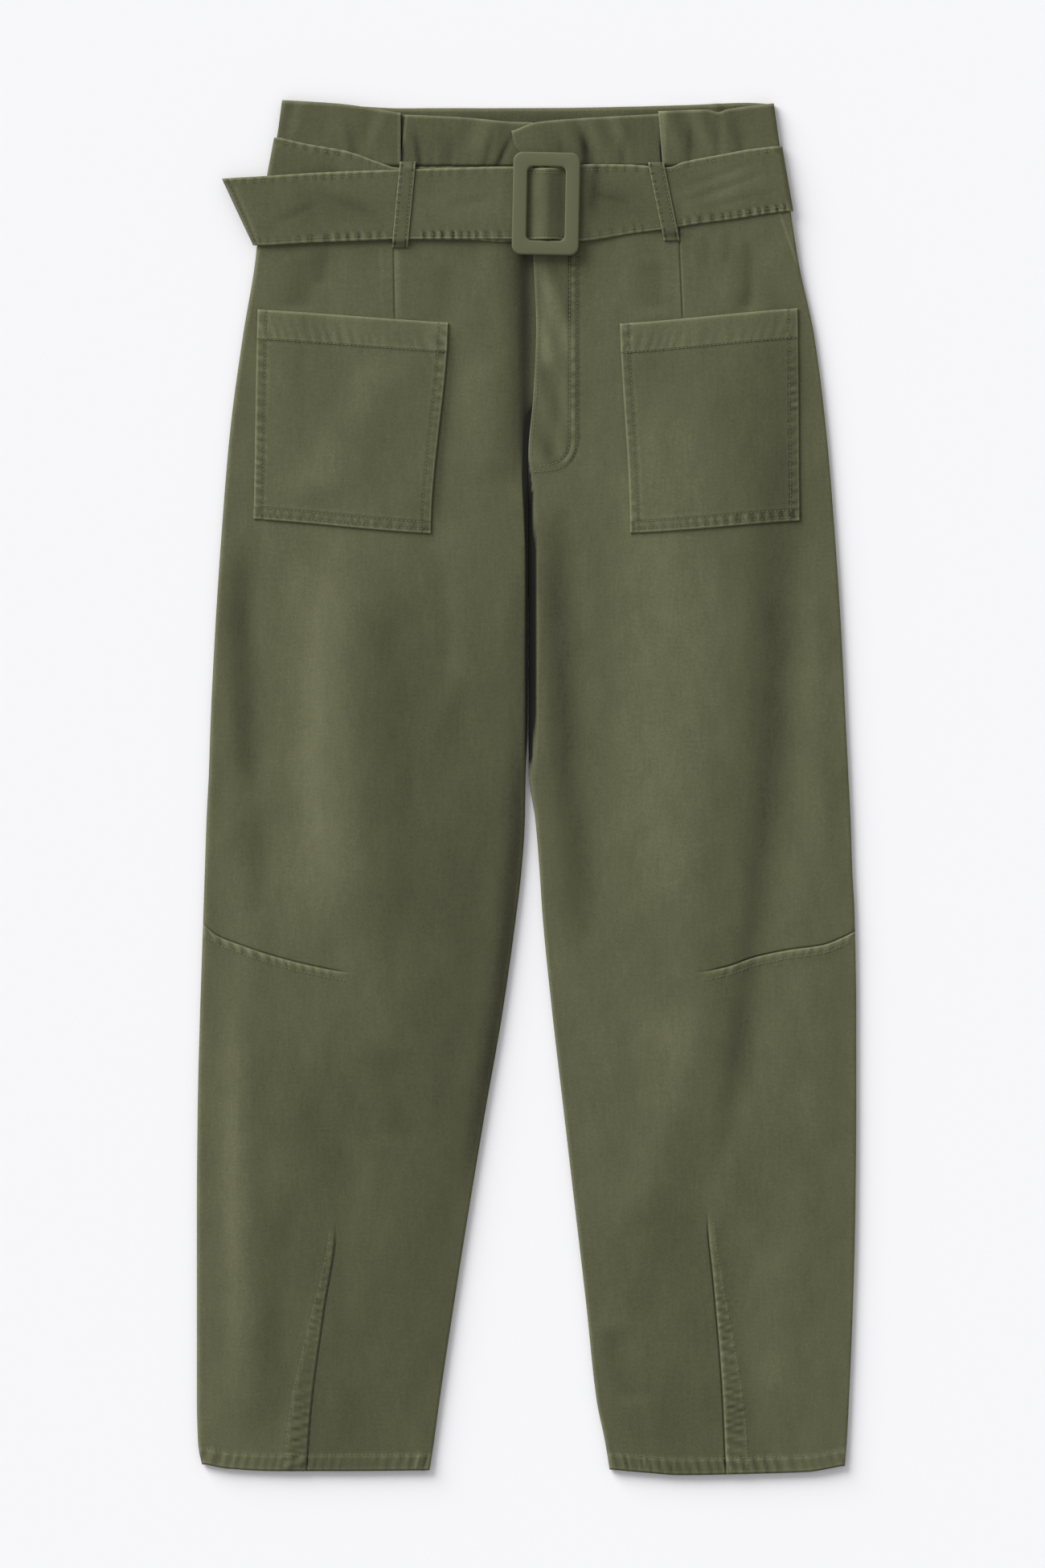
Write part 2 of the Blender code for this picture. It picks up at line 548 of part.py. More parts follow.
def frill_front(leg, finish):
    sign = LEGS[leg]["sign"]
    lines = FRILLS[leg]
    side_steps, outer_steps, inner_steps = ROLL_STEPS, 8, 9

    def section(column, share):
        """(s, height, top) of one section of the pleated cloth, from the side inwards."""
        fold = lines.fold_foot + (lines.fold_top - lines.fold_foot) * share
        radius = PLEAT_PITCH / 2
        upper = PLEAT_FLOOR + 2 * PLEAT_PITCH
        y = FRILL_SEAM_Y + 45 * share
        side = at(WAIST_SIDE[leg], y)
        if column < side_steps:
            across, height = roll(side_steps - column, FRILL_UP, side_seam_up(y) + SEAM_GAP / 2)
            return side - FRILL_WALL / 2 - SIDE_ROLL * across, height, "outer"
        column -= side_steps
        if column <= outer_steps:
            s = side - FRILL_WALL / 2 - SIDE_ROLL
            s += (fold + radius - s) * column / outer_steps
            near = smooth(fold + 15, fold + 8, s)
            crease = 0.7 * smooth(4, 0, abs(s - FRILL_CREASE_S)) if leg == "left" else 0.0
            return s, FRILL_UP + (upper - FRILL_UP) * near - crease, "outer"
        column -= outer_steps
        if column <= PLEAT_TURN:
            turn = math.pi * column / PLEAT_TURN
            return fold + radius - radius * math.sin(turn), upper - radius * (1 - math.cos(turn)), "outer"
        column -= PLEAT_TURN
        if column <= PLEAT_TURN + 1:
            turn = math.pi * (column - 1) / PLEAT_TURN
            back = fold + PLEAT_DEEP
            return back + radius * math.sin(turn), upper - PLEAT_PITCH - radius * (1 - math.cos(turn)), "both"
        column -= PLEAT_TURN + 1
        end = at(LAP_EDGE, y) if leg == "left" else -at(LAP_EDGE, y) - UNDERLAP
        start = fold - lines.gap * share - 0.2
        if column == 1:
            return start + 0.4, PLEAT_FLOOR, "inner"
        s = start + (end - start) * (column - 2) / (inner_steps - 2)
        rise = (FRILL_UP - PLEAT_FLOOR) * (1 if leg == "right" else smooth(start, start - 22, s))
        height = PLEAT_FLOOR + rise
        return s, height + (lines.inner_up - height) * smooth(34, 10, s), "inner"

    def place(column, row):
        share = row / FRILL_ROWS
        s, height, stretch = section(column, share)
        outer, inner = at(lines.outer_top, s), at(lines.inner_top, s)
        top = {"outer": outer, "inner": inner, "both": (outer + inner) / 2}[stretch]
        return s * sign, FRILL_SEAM_Y + (top - FRILL_SEAM_Y) * share, height

    name, columns = "frill_front_" + leg, side_steps + outer_steps + 2 * PLEAT_TURN + 1 + inner_steps
    return cloth(name, columns, FRILL_ROWS, place, FRILL_WALL, finish, leg == "left", centred=True)


# ---- Belt, loops and buckle ---------------------------------------------------------
# A row for each station along the belt: its upper and lower edge point and the height of its middle.
# It starts at the fixed end sewn over the buckle's bar and ends at the slanted free tip.
Station = namedtuple("Station", "top_x top_y low_x low_y up")
UNDER_UP = 6.95         # middle of the belt's under layer
OVER_UP = 8.55          # middle of its upper layer
BACK_BELT_UP = BELT_WALL / 2
UNDER_RUN = [           # buckle to the right side
    Station(-4.0, 456.0, -4.0, 407.5, 7.35),
    Station(-20.0, 456.5, -20.0, 407.0, 7.1),
    Station(-40.0, 457.0, -40.0, 408.6, UNDER_UP),
    Station(-70.0, 459.5, -69.0, 411.5, UNDER_UP),
    Station(-97.0, 462.0, -97.0, 414.5, UNDER_UP),
    Station(-112.0, 466.6, -112.0, 418.5, 7.1),
    Station(-133.0, 474.0, -133.5, 425.0, UNDER_UP),
    Station(-165.0, 480.0, -171.0, 432.0, UNDER_UP),
]
OVER_RUN = [            # left side to the free tip
    Station(168.0, 476.0, 176.0, 427.5, UNDER_UP),
    Station(147.0, 472.2, 154.0, 424.0, UNDER_UP),
    Station(117.0, 466.3, 121.5, 419.7, 7.3),
    Station(104.0, 462.4, 107.0, 417.0, 7.2),
    Station(75.0, 464.4, 77.0, 413.1, UNDER_UP),
    Station(55.0, 464.6, 56.0, 409.5, 7.6),
    Station(39.5, 464.4, 40.0, 407.5, 9.0),
    Station(28.0, 463.0, 28.0, 407.6, 9.2),
    Station(21.5, 461.6, 21.5, 408.6, 11.5),
    Station(14.5, 461.6, 14.5, 408.6, 13.75),
    Station(7.8, 461.6, 7.8, 408.6, 11.9),
    Station(1.6, 462.0, 1.6, 408.4, 9.2),
    Station(-11.0, 462.8, -11.0, 408.7, 9.0),
    Station(-30.0, 462.4, -30.0, 408.9, 8.7),
    Station(-57.0, 461.7, -57.0, 408.9, OVER_UP),
    Station(-95.0, 460.5, -95.0, 408.9, OVER_UP),
    Station(-125.0, 459.5, -122.0, 408.0, OVER_UP),
    Station(-160.0, 458.0, -152.0, 406.8, OVER_UP),
    Station(-195.3, 455.7, -176.0, 405.6, OVER_UP),
    Station(-212.0, 454.8, -193.0, 404.6, 8.2),
    Station(-227.5, 453.9, -204.2, 404.4, 6.9),
]
SIDE_TURNS = {"right": (-188.7, 484.5, -197.7, 436.5), "left": (190.5, 478.0, 198.9, 430.0)}
TURN_STEPS = 5
BAR_X = 14.5
BAR_UP = 10.5
BAR_THICK = 1.4
BAR_WIDE = 3.0
WRAP = (BAR_THICK + BELT_WALL) / 2 + SEAM_GAP


def belt_end():
    """The fixed end: over the bar from its sewn tail, round it and under it to the right side."""
    stations = [Station(3.2, 459.5, 3.2, 408.6, 9.45),
                Station(9.0, 459.5, 9.0, 408.6, BAR_UP + WRAP - 0.5)]
    for step in range(5):
        turn = math.pi * step / 4
        x = BAR_X + 1.8 + WRAP * math.sin(turn)
        stations.append(Station(x, 459.5, x, 408.6, BAR_UP + WRAP * math.cos(turn)))
    return stations + [Station(9.0, 458.0, 9.0, 408.0, BAR_UP - WRAP - 0.1),
                       Station(3.0, 457.0, 3.0, 407.7, 7.75)]


def side_turn(side):
    """Round the side of the garment, from the front to the back."""
    top_x, top_y, low_x, low_y = SIDE_TURNS[side]
    radius = (UNDER_UP - BACK_BELT_UP) / 2
    outwards = math.copysign(1, top_x)
    shift = outwards * (radius + BELT_WALL / 2)
    stations = []
    for step in range(TURN_STEPS + 1):
        turn = math.pi * step / TURN_STEPS
        out = outwards * radius * math.sin(turn)
        up = BACK_BELT_UP + radius * (1 + math.cos(turn))
        stations.append(Station(top_x - shift + out, top_y, low_x - shift + out, low_y, up))
    return stations


def back_run():
    """Behind the garment from the right side to the left, over the two back loops."""
    first, last = SIDE_TURNS["right"], SIDE_TURNS["left"]
    stations = []
    for x in (-168, -138, -108, -82, -74, -67, -53, -46, -38, -13, 13, 38, 46, 53, 67, 74, 82, 108, 138, 168):
        share = (x - first[0]) / (last[0] - first[0])
        over_loop = smooth(21, 8, abs(abs(x) - BACK_LOOP_X))
        top, low = (first[n] * (1 - share) + last[n] * share for n in (1, 3))
        stations.append(Station(x, top, x * 1.03, low, BACK_BELT_UP + BACK_LOOP_LIFT * over_loop))
    return stations


def belt(finish):
    stations = belt_end() + UNDER_RUN + side_turn("right") + back_run()
    stations += list(reversed(side_turn("left"))) + OVER_RUN
    rows = 2

    def place(column, row):
        here, share = stations[column], row / rows
        x = here.low_x + (here.top_x - here.low_x) * share
        y = here.low_y + (here.top_y - here.low_y) * share
        return x, y, here.up

    return cloth("belt", len(stations) - 1, rows, place, BELT_WALL, finish, centred=True)


# A row for each loop: middle of its upper and lower end, and how high it passes over the belt
Loop = namedtuple("Loop", "name top_x top_y low_x low_y up")
FRONT_LOOPS = [
    Loop("belt_loop_right", -88.8, 466.8, -94.8, 402.7, OVER_UP),
    Loop("belt_loop_left", 96.2, 465.9, 108.0, 407.7, 7.3),
]
LOOP_WIDE = 11.6
LOOP_STEPS = [0.0, 0.05, 0.1, 0.15, 0.3, 0.5, 0.7, 0.82, 0.88, 0.94, 1.0]


def loop_front(loop, leg, finish):
    over = loop.up + BELT_WALL / 2 + SEAM_GAP + LOOP_WALL / 2

    def place(column, row):
        share = LOOP_STEPS[row]
        x = loop.low_x + (loop.top_x - loop.low_x) * share + LOOP_WIDE * (column - 0.5)
        y = loop.low_y + (loop.top_y - loop.low_y) * share
        seat = FRONT_TOP + FRONT_WAIST_LIFT + SEAM_GAP + LOOP_WALL / 2
        top_seat = max(seat, PLEAT_FLOOR + 2 * PLEAT_PITCH + FRILL_WALL / 2 + SEAM_GAP + LOOP_WALL / 2)
        low, high = LOOP_RISE[leg]
        climb = smooth(low[0], low[1], y)
        drop = smooth(high[0], high[1], y)
        return x, y, seat + (over - seat) * climb * (1 - drop) + (top_seat - seat) * drop

    return cloth(loop.name, 1, len(LOOP_STEPS) - 1, place, LOOP_WALL, finish, centred=True)


# y over which a loop climbs over the belt's lower edge, and comes down past its upper edge
LOOP_RISE = {"right": ((403.5, 408.0), (461.5, 466.5)), "left": ((409.5, 415.5), (464.5, 465.8))}


def loop_back(name, x_middle, finish):
    """Under the belt at the back, its ends sewn up to the waistband's seams."""
    first, last = SIDE_TURNS["right"], SIDE_TURNS["left"]
    share = (x_middle - first[0]) / (last[0] - first[0])
    high, low = (first[n] * (1 - share) + last[n] * share for n in (1, 3))

    def place(column, row):
        y = low - 6 + (high - low + 12) * row / 12
        clear = smooth(low - 1, low - 6, y) + smooth(high + 1, high + 6, y)
        x = x_middle + LOOP_WIDE * (column - 0.5)
        return x, y, LOOP_WALL / 2 + clear * (back_height(y, x) - 2 * SEAM_GAP - LOOP_WALL)

    return cloth(name, 1, 12, place, LOOP_WALL, finish, centred=True)


BUCKLE_MIDDLE = (14.3, 435.1, 12.0)
BUCKLE_WIDE = 50.0
BUCKLE_TALL = 76.6
BUCKLE_BAND = 10.8
BUCKLE_THICK = 3.6
BUCKLE_CORNER = 6.0
BUCKLE_TURN = math.radians(-1.5)


def rounded_outline(wide, tall, corner, steps=5):
    points = []
    for quarter, (cx, cy) in enumerate([(1, 1), (-1, 1), (-1, -1), (1, -1)]):
        for step in range(steps + 1):
            turn = math.pi / 2 * (quarter + step / steps)
            x = cx * (wide / 2 - corner) + corner * math.cos(turn)
            points.append((x, cy * (tall / 2 - corner) + corner * math.sin(turn)))
    return points


def buckle(finish):
    """A slide buckle: a flat frame with rounded edges, and a bar across its window."""
    section = []                                    # (inwards, up) round the band
    edge = 1.2
    for cx, cz in ((1, 1), (0, 1), (0, 0), (1, 0)):
        for step in range(3):
            turn = math.pi / 2 * ({(1, 1): 0, (0, 1): 1, (0, 0): 2, (1, 0): 3}[(cx, cz)] + step / 2)
            inwards = cx * BUCKLE_BAND + (edge if cx == 0 else -edge) + edge * math.cos(turn)
            up = cz * BUCKLE_THICK + (edge if cz == 0 else -edge) + edge * math.sin(turn)
            section.append((inwards, up - BUCKLE_THICK / 2))
    shape = bmesh.new()
    rings = []
    for inwards, up in section:
        corner = BUCKLE_CORNER - (BUCKLE_CORNER - 3.0) * inwards / BUCKLE_BAND
        outline = rounded_outline(BUCKLE_WIDE - 2 * inwards, BUCKLE_TALL - 2 * inwards, corner)
        rings.append([shape.verts.new((x * MM, y * MM, up * MM)) for x, y in outline])
    for ring, following in zip(rings, rings[1:] + rings[:1]):
        for k in range(len(ring)):
            nearby = (k + 1) % len(ring)
            shape.faces.new((ring[k], ring[nearby], following[nearby], following[k]))
    bmesh.ops.recalc_face_normals(shape, faces=shape.faces)
    mesh = bpy.data.meshes.new("buckle")
    shape.to_mesh(mesh)
    shape.free()
    mesh.materials.append(finish)
    mesh.shade_smooth()
    frame = bpy.data.objects.new("buckle", mesh)
    bpy.context.scene.collection.objects.link(frame)
    frame.location = [value * MM for value in BUCKLE_MIDDLE]
    frame.rotation_euler = (0, 0, BUCKLE_TURN)
    bar_shape = bmesh.new()
    bmesh.ops.create_cube(bar_shape, size=1.0)
    bar_size = (BAR_WIDE, BUCKLE_TALL - BUCKLE_BAND, BAR_THICK)
    bmesh.ops.scale(bar_shape, verts=bar_shape.verts, vec=[side * MM for side in bar_size])
    bar_mesh = bpy.data.meshes.new("bar")
    bar_shape.to_mesh(bar_mesh)
    bar_shape.free()
    bar = bpy.data.objects.new("bar", bar_mesh)
    bpy.context.scene.collection.objects.link(bar)
    bar.location = (BUCKLE_MIDDLE[0] * MM, BUCKLE_MIDDLE[1] * MM, BAR_UP * MM)
    bar.rotation_euler = frame.rotation_euler
    bar.hide_render = True
    bar.display_type = "WIRE"
    join = frame.modifiers.new("bar", "BOOLEAN")
    join.operation = "UNION"
    join.object = bar
    return frame


def main():
    for leftover in list(bpy.data.objects):
        bpy.data.objects.remove(leftover, do_unlink=True)
    twill = material("washed olive cotton twill", (0.118, 0.125, 0.072), 0.9)
    covered = material("cloth-covered buckle", (0.122, 0.128, 0.073), 0.7)
    for leg in LEGS:
        front_panel(leg, twill)
        back_panel(leg, twill)
        pocket(leg, twill)
        band_front(leg, twill)
        frill_front(leg, twill)
    band_back(twill)
    frill_back(twill)
    belt(twill)
    for loop, leg in zip(FRONT_LOOPS, LEGS):
        loop_front(loop, leg, twill)
    loop_back("belt_loop_back_right", -BACK_LOOP_X, twill)
    loop_back("belt_loop_back_left", BACK_LOOP_X, twill)
    buckle(covered)


main()
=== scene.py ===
import math

import bmesh
import bpy
import numpy as np
from mathutils import Matrix, Vector


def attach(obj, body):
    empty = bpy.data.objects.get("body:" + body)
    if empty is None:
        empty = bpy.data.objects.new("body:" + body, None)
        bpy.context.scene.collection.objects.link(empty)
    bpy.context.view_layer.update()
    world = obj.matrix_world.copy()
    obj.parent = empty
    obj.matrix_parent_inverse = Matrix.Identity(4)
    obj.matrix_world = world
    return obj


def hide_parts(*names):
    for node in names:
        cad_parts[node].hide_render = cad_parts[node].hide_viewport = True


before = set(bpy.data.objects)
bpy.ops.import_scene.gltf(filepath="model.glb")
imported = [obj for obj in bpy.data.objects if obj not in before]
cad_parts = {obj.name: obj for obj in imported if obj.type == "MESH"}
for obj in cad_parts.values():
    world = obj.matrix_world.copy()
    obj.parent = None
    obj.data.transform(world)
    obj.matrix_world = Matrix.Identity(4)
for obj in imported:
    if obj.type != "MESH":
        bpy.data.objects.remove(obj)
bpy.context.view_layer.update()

mm = 0.001  # everything below is in millimetres until a mesh is made


def smooth(a, b, value):  # 0 before a, 1 after b; a may be the larger one
    t = np.clip((value - a) / (b - a), 0, 1)
    return t * t * (3 - 2 * t)


def crest(away, wide):  # 1 where away is 0, falling off over the width
    return np.exp(-(away / wide) ** 2)


def within(value, rise, risen, falling, fallen):  # 1 from risen to falling, 0 outside rise and fallen
    return smooth(rise, risen, value) * smooth(fallen, falling, value)


def line(*points):  # a smooth curve through points, as a function of the first column
    xs, ys = np.array(sorted(points), float).T
    rise = np.diff(ys) / np.diff(xs)
    slopes = np.concatenate([rise[:1], np.zeros(len(xs) - 2), rise[-1:]])
    same = rise[:-1] * rise[1:] > 0
    slopes[1:-1][same] = 2 * rise[:-1][same] * rise[1:][same] / (rise[:-1] + rise[1:])[same]

    def value(at):
        at = np.clip(at, xs[0], xs[-1])
        k = np.clip(np.searchsorted(xs, at, side="right") - 1, 0, len(xs) - 2)
        step = xs[k + 1] - xs[k]
        t = (at - xs[k]) / step
        return (ys[k] * (1 + 2 * t) * (1 - t) ** 2 + slopes[k] * step * t * (1 - t) ** 2
                + ys[k + 1] * t * t * (3 - 2 * t) + slopes[k + 1] * step * t * t * (t - 1))
    return value


def linear(hexColour):  # sRGB hex to linear
    parts = [int(hexColour[k:k + 2], 16) / 255 for k in (0, 2, 4)]
    return [p / 12.92 if p <= 0.04045 else ((p + 0.055) / 1.055) ** 2.4 for p in parts]


def pucker(t, seed, pitch=7.4):  # the uneven dimples that washing leaves along a stitched seam
    wander = 2.3 * np.sin(t / 27.0 + seed) + 1.5 * np.sin(t / 11.3 + 2.3 * seed)
    turn = 2 * math.pi * t / pitch
    strength = 0.62 + 0.24 * np.sin(t / 37.0 + 1.7 * seed) + 0.2 * np.sin(t / 13.0 + 3.1 * seed)
    wander = wander + 0.7 * np.sin(t / 5.1 + seed)
    return strength * (np.sin(turn + wander) + 0.3 * np.sin(1.785 * turn + seed))


# walls, heights and seams; s is the distance outwards from the centre line, so that x = s * sign
cut = dict(
    wall=1.4, frillWall=1.0, bandWall=1.2, pocketWall=1.2, beltWall=1.3, loopWall=1.0, seamGap=0.3,
    frontTop=4.6, frontLowest=3.3, seamUp=2.4, sideRoll=3.0, waistY=416.7, frillY=463.5,
    frontLift=1.4, backLift=1.6, crotchY=155.7, hemDepth=12.6, hemRise=0.4, pocketHem=22.0,
    faceLowest=3.0, waistClimb=17.0, frillHigh=45.0,
)
rowY = (416.7, 389.7, 335.7, 263.7, 191.7, 119.7, 47.7, 11.7, -24.3, -60.3, -96.3, -168.3, -240.3,
        -312.3, -384.3, -456.3, -489.0, -513.0)
edges = dict(
    rightSide=(200.1, 203.1, 212.1, 221.7, 227.7, 232.5, 236.1, 237.3, 239.1, 240.3, 241.5, 243.9,
               245.7, 246.3, 246.3, 246.3, 245.4, 240.5),
    rightInseam=(-0.85, -0.85, -0.85, -0.85, -0.85, -0.85, -0.6, 0.9, 1.5, 3.9, 8.1, 18.3, 30.9,
                 42.9, 54.3, 65.1, 69.5, 73.2),
    leftInseam=(1.15, 1.15, 1.15, 1.15, 1.15, 1.15, 1.15, 1.3, 6.3, 9.3, 11.7, 18.9, 27.3, 35.7,
                44.1, 51.9, 58.5, 62.3),
    leftSide=(198.6, 203.1, 214.5, 223.5, 229.5, 234.3, 237.9, 239.7, 241.5, 242.7, 244.5, 245.7,
              245.7, 245.1, 243.3, 240.3, 238.6, 236.6),
)
legs = dict(
    right=dict(
        sign=-1,
        side=line(*zip(rowY, edges["rightSide"])),
        inseam=line(*zip(rowY, edges["rightInseam"])),
        pocketOuter=line((416.7, 187), (356.6, 200.8), (200.2, 203.9), (-100, 214), (-513, 222)),
        pocketInner=line((416.7, 58), (346.8, 58.7), (189.4, 71.5), (-24, 68), (-168, 76), (-513, 118)),
        hemDart=line((416.7, 124), (350, 130), (200, 137), (-100, 140), (-326.1, 142.5),
                     (-391.5, 151.8), (-462.3, 161.1), (-513, 165)),
        flyLine=line((416.7, 9), (240, 9), (100, 12), (-60, 18), (-168, 30), (-513, 84)),
        mouth=line((0, 344), (58.7, 346.8), (200.8, 356.6), (230, 358)),
        pocketFoot=line((0, 187), (71.5, 189.4), (203.9, 200.2), (240, 202)),
        kneeDart=line((0, -142), (132.3, -137.7), (159.9, -132.9), (188.1, -125.7), (216.9, -116.1),
                      (231.3, -110.1), (241.1, -102)),
        hem=line((73, -509.1), (139, -509.7), (187, -509.7), (223, -507.9), (241, -504.5)),
        tuck=line((404.7, 99.9), (350, 99.0)),
        waistSide=line((416.7, 200.1), (430, 196.5), (456, 192), (484.5, 186.3), (513, 182.1)),
        kneeTip=132.3, dartTip=-326.1,
    ),
    left=dict(
        sign=1,
        side=line(*zip(rowY, edges["leftSide"])),
        inseam=line(*zip(rowY, edges["leftInseam"])),
        pocketOuter=line((416.7, 187), (357.5, 201.9), (199.1, 203.6), (-100, 212), (-513, 216)),
        pocketInner=line((416.7, 68), (346, 69.3), (189.7, 76.9), (-24, 74), (-168, 80), (-513, 108)),
        hemDart=line((416.7, 130), (350, 135), (200, 135), (-100, 134), (-317.7, 134.7),
                     (-372.9, 139.5), (-445.5, 145.5), (-513, 148.6)),
        flyLine=line((416.7, 38), (262, 38), (100, 30), (-60, 30), (-168, 36), (-513, 78)),
        mouth=line((0, 343), (69.3, 346), (201.9, 357.5), (230, 359)),
        pocketFoot=line((0, 188), (76.9, 189.7), (203.6, 199.1), (240, 201)),
        kneeDart=line((0, -142), (128.7, -137.4), (149.1, -133.5), (170.1, -126.3), (196.8, -120.7),
                      (220.5, -117.3), (234.9, -111.9), (245.1, -106.8)),
        hem=line((62, -508.5), (90, -511), (114, -512.7), (176, -511.5), (210, -510.3), (222, -508.5),
                 (234, -506.1)),
        tuck=line((404.7, 113.7), (350, 116.1)),
        waistSide=line((416.7, 198.6), (430, 196.6), (456, 191.8), (479, 188.4), (510.3, 184)),
        kneeTip=128.7, dartTip=-317.7,
    ),
)
lapEdge = line((230, 1.15), (247.5, 1.15), (296, 5), (343, 6.9), (398, 4.5), (440, 1.5),
               (473.7, -3.3), (489.9, -9.3), (513, -12))
# the fly: its stitch line goes straight down and then bends inwards like a J
fly = dict(underlap=16.0, rows=(262.0, 238.0, 212.0), wide=37.5, footY=235.5, bend=27.0, reach=14.0,
           innerStitch=5.4)

# soft folds: (s, y) at the top, s half way, (s, y) at the foot, width inside and outside, height, and for one
# fold how much it narrows towards its foot
folds = dict(
    right=[(128, 215, 150, 140, -125, 32, 20, 0.95), (92, 190, 96, 84, -150, 20, 24, -0.8),
           (208, 200, 210, 200, -20, 12, 10, -0.9), (196, -5, 196, 200, -105, 12, 12, -0.35),
           (216, -125, 215, 213, -480, 16, 9, 0.8), (176, -290, 184, 188, -500, 12, 14, -0.6),
           (100, -190, 98, 94, -270, 22, 26, -0.45), (158, 400, 166, 172, 352, 14, 14, -0.7),
           (62, 392, 60, 66, 340, 9, 12, -0.6), (100, 330, 130, 170, 205, 22, 22, 0.6)],
    left=[(27, 225, 31, 50, -120, 11, 13, -0.75), (112, 330, 104, 112, -130, 34, 38, 0.8),
          (184, 300, 182, 137, -322, 17, 24, -0.95, 0.5), (120, -150, 104, 86, -330, 22, 22, 0.7),
          (66, -400, 72, 84, -462, 10, 12, -0.6), (166, 412, 166, 164, 350, 8, 8, -0.6),
          (94, 395, 95, 98, 352, 9, 9, -0.6)],
)


def foldHeight(rows, leg, s, y):
    height = np.zeros(np.broadcast(s, y).shape)
    for topS, topY, midS, lowS, lowY, wideIn, wideOut, deep, *narrower in rows[leg]:
        t = np.clip((topY - y) / (topY - lowY), 0, 1)
        centre = topS * (1 - t) * (1 - 2 * t) + midS * 4 * t * (1 - t) + lowS * t * (2 * t - 1)
        wide = np.where(s > centre, wideOut, wideIn) * (1 - sum(narrower) * t)
        height += deep * within(t, 0, 0.25, 0.8, 1) * crest(s - centre, wide)
    return height


def flyReach(s, y):  # 1 on the J-shaped stitch line of the fly, less inside it
    down = np.maximum(0, (fly["footY"] + fly["bend"] - y) / fly["bend"])
    return np.maximum(0, s / fly["wide"]) ** 3 + down ** 3


def dartWide(leg, y):  # the pressed intake of the hem dart widens towards the hem
    return 5 + 12 * smooth(legs[leg]["dartTip"], -500, y)


def dartHeight(leg, s, y):  # grooves of the knee and hem darts, the intake pressed to one side
    cutLine = legs[leg]
    below = cutLine["kneeDart"](s) - y
    outside = s - cutLine["hemDart"](y)
    wide = dartWide(leg, y)
    knee = smooth(cutLine["kneeTip"] - 4, cutLine["kneeTip"] + 14, s)
    hem = smooth(cutLine["dartTip"] + 4, cutLine["dartTip"] - 14, y)
    return (knee * (0.5 * within(below, 0, 1.6, 7, 11) - 0.5 * smooth(1.4, 0, abs(below)))
            + hem * (0.5 * within(outside, 0, 1.6, wide, wide + 4) - 0.45 * smooth(1.4, 0, abs(outside))))


# softer and narrower creases, the same columns
creases = dict(
    right=[(52, 205, 50, 46, 60, 16, 12, 0.5), (62, 175, 60, 58, 85, 5, 5, -0.35),
           (40, 10, 44, 62, -230, 12, 14, -0.35), (26, 330, 34, 26, 225, 14, 16, 0.4),
           (150, 404, 152, 154, 372, 5, 6, -0.6), (118, -250, 120, 128, -420, 18, 14, 0.35)],
    left=[(213, 190, 215, 222, -95, 16, 12, 0.7), (166.5, 412, 166.5, 165, 352, 4, 4, -0.35),
          (134, 415, 133.5, 133, 385, 3.5, 3.5, -0.5), (150, 415, 149.7, 149, 388, 3.5, 3.5, -0.5),
          (28, 350, 30, 26, 250, 7, 9, 0.35), (190, -330, 186, 180, -470, 16, 14, 0.45)],
)
loft = dict(high=1.7, wide=42.0)  # the legs lie a little fuller than their edges
# broad painted light and shade in the tone, the same columns: below 0 painted shade, above 0 painted light
paintedLightAndShade = dict(
    right=[(60, 250, 62, 74, -560, 60, 46, -0.38), (165, -150, 150, 150, -620, 46, 40, -0.36),
           (214, 210, 210, 205, -100, 12, 12, -0.25), (1, 450, 2, -1, 205, 8, 9, -1.0),
           (164, 300, 166, 172, -140, 30, 26, 0.18), (6, 220, 8, 44, -300, 14, 12, -0.3),
           (4, 75, 14, 52, -330, 18, 10, -0.36)],
    left=[(190, 400, 188, 182, -80, 30, 20, -0.3), (18, 250, 24, 40, -160, 12, 22, -0.38),
          (104, 330, 104, 98, -300, 30, 30, 0.08), (110, -180, 118, 110, -620, 60, 60, -0.3),
          (140, 30, 146, 140, -250, 22, 26, -0.24), (146, -190, 142, 136, -330, 12, 14, 0.2),
          (15, 388, 15, 14, 306, 4.5, 5.5, 0.55), (31, 412, 31, 31, 340, 4.5, 4.5, -0.35),
          (23, 318, 20, 13, 236, 4, 4, -0.15), (12, 330, 12, 12, 235, 8, 9, -0.3)],
)
# the deep crease between the legs above the crotch: where it ends, and how far out it reaches on either leg
canyon = dict(
    high=296.0, low=14.0, floor=2.75,
    left=line((14, 3.4), (24, 4.4), (48, 5.4), (108, 7.2), (168, 5.8), (204, 4.6), (228, 3.0), (244, 0.8),
              (252, -2)),
    right=line((14, -0.2), (48, -0.6), (108, -0.6), (168, -0.4), (204, 1.0), (228, 2.0), (250, 0.9),
               (270, -1.4), (285, -3.6), (296, -6)),
)
# the loops behind: how far out and how wide they are, and how far they lift what lies on them
backLoops = dict(x=60.0, wide=11.6, lift=cut["loopWall"] + cut["seamGap"])


def foldLightAndShade(leg, s, y):  # tone painted from the folds, painted shade in their valleys and painted light on their ridges, plus the broad painted light and shade
    shaded = smooth(408, 392, y) * foldHeight(folds, leg, s, y) + foldHeight(creases, leg, s, y)
    return 0.34 * shaded + foldHeight(paintedLightAndShade, leg, s, y)


def inCanyon(y):
    return within(y, canyon["low"] - 10, canyon["low"] + 24, canyon["high"] - 50, canyon["high"])


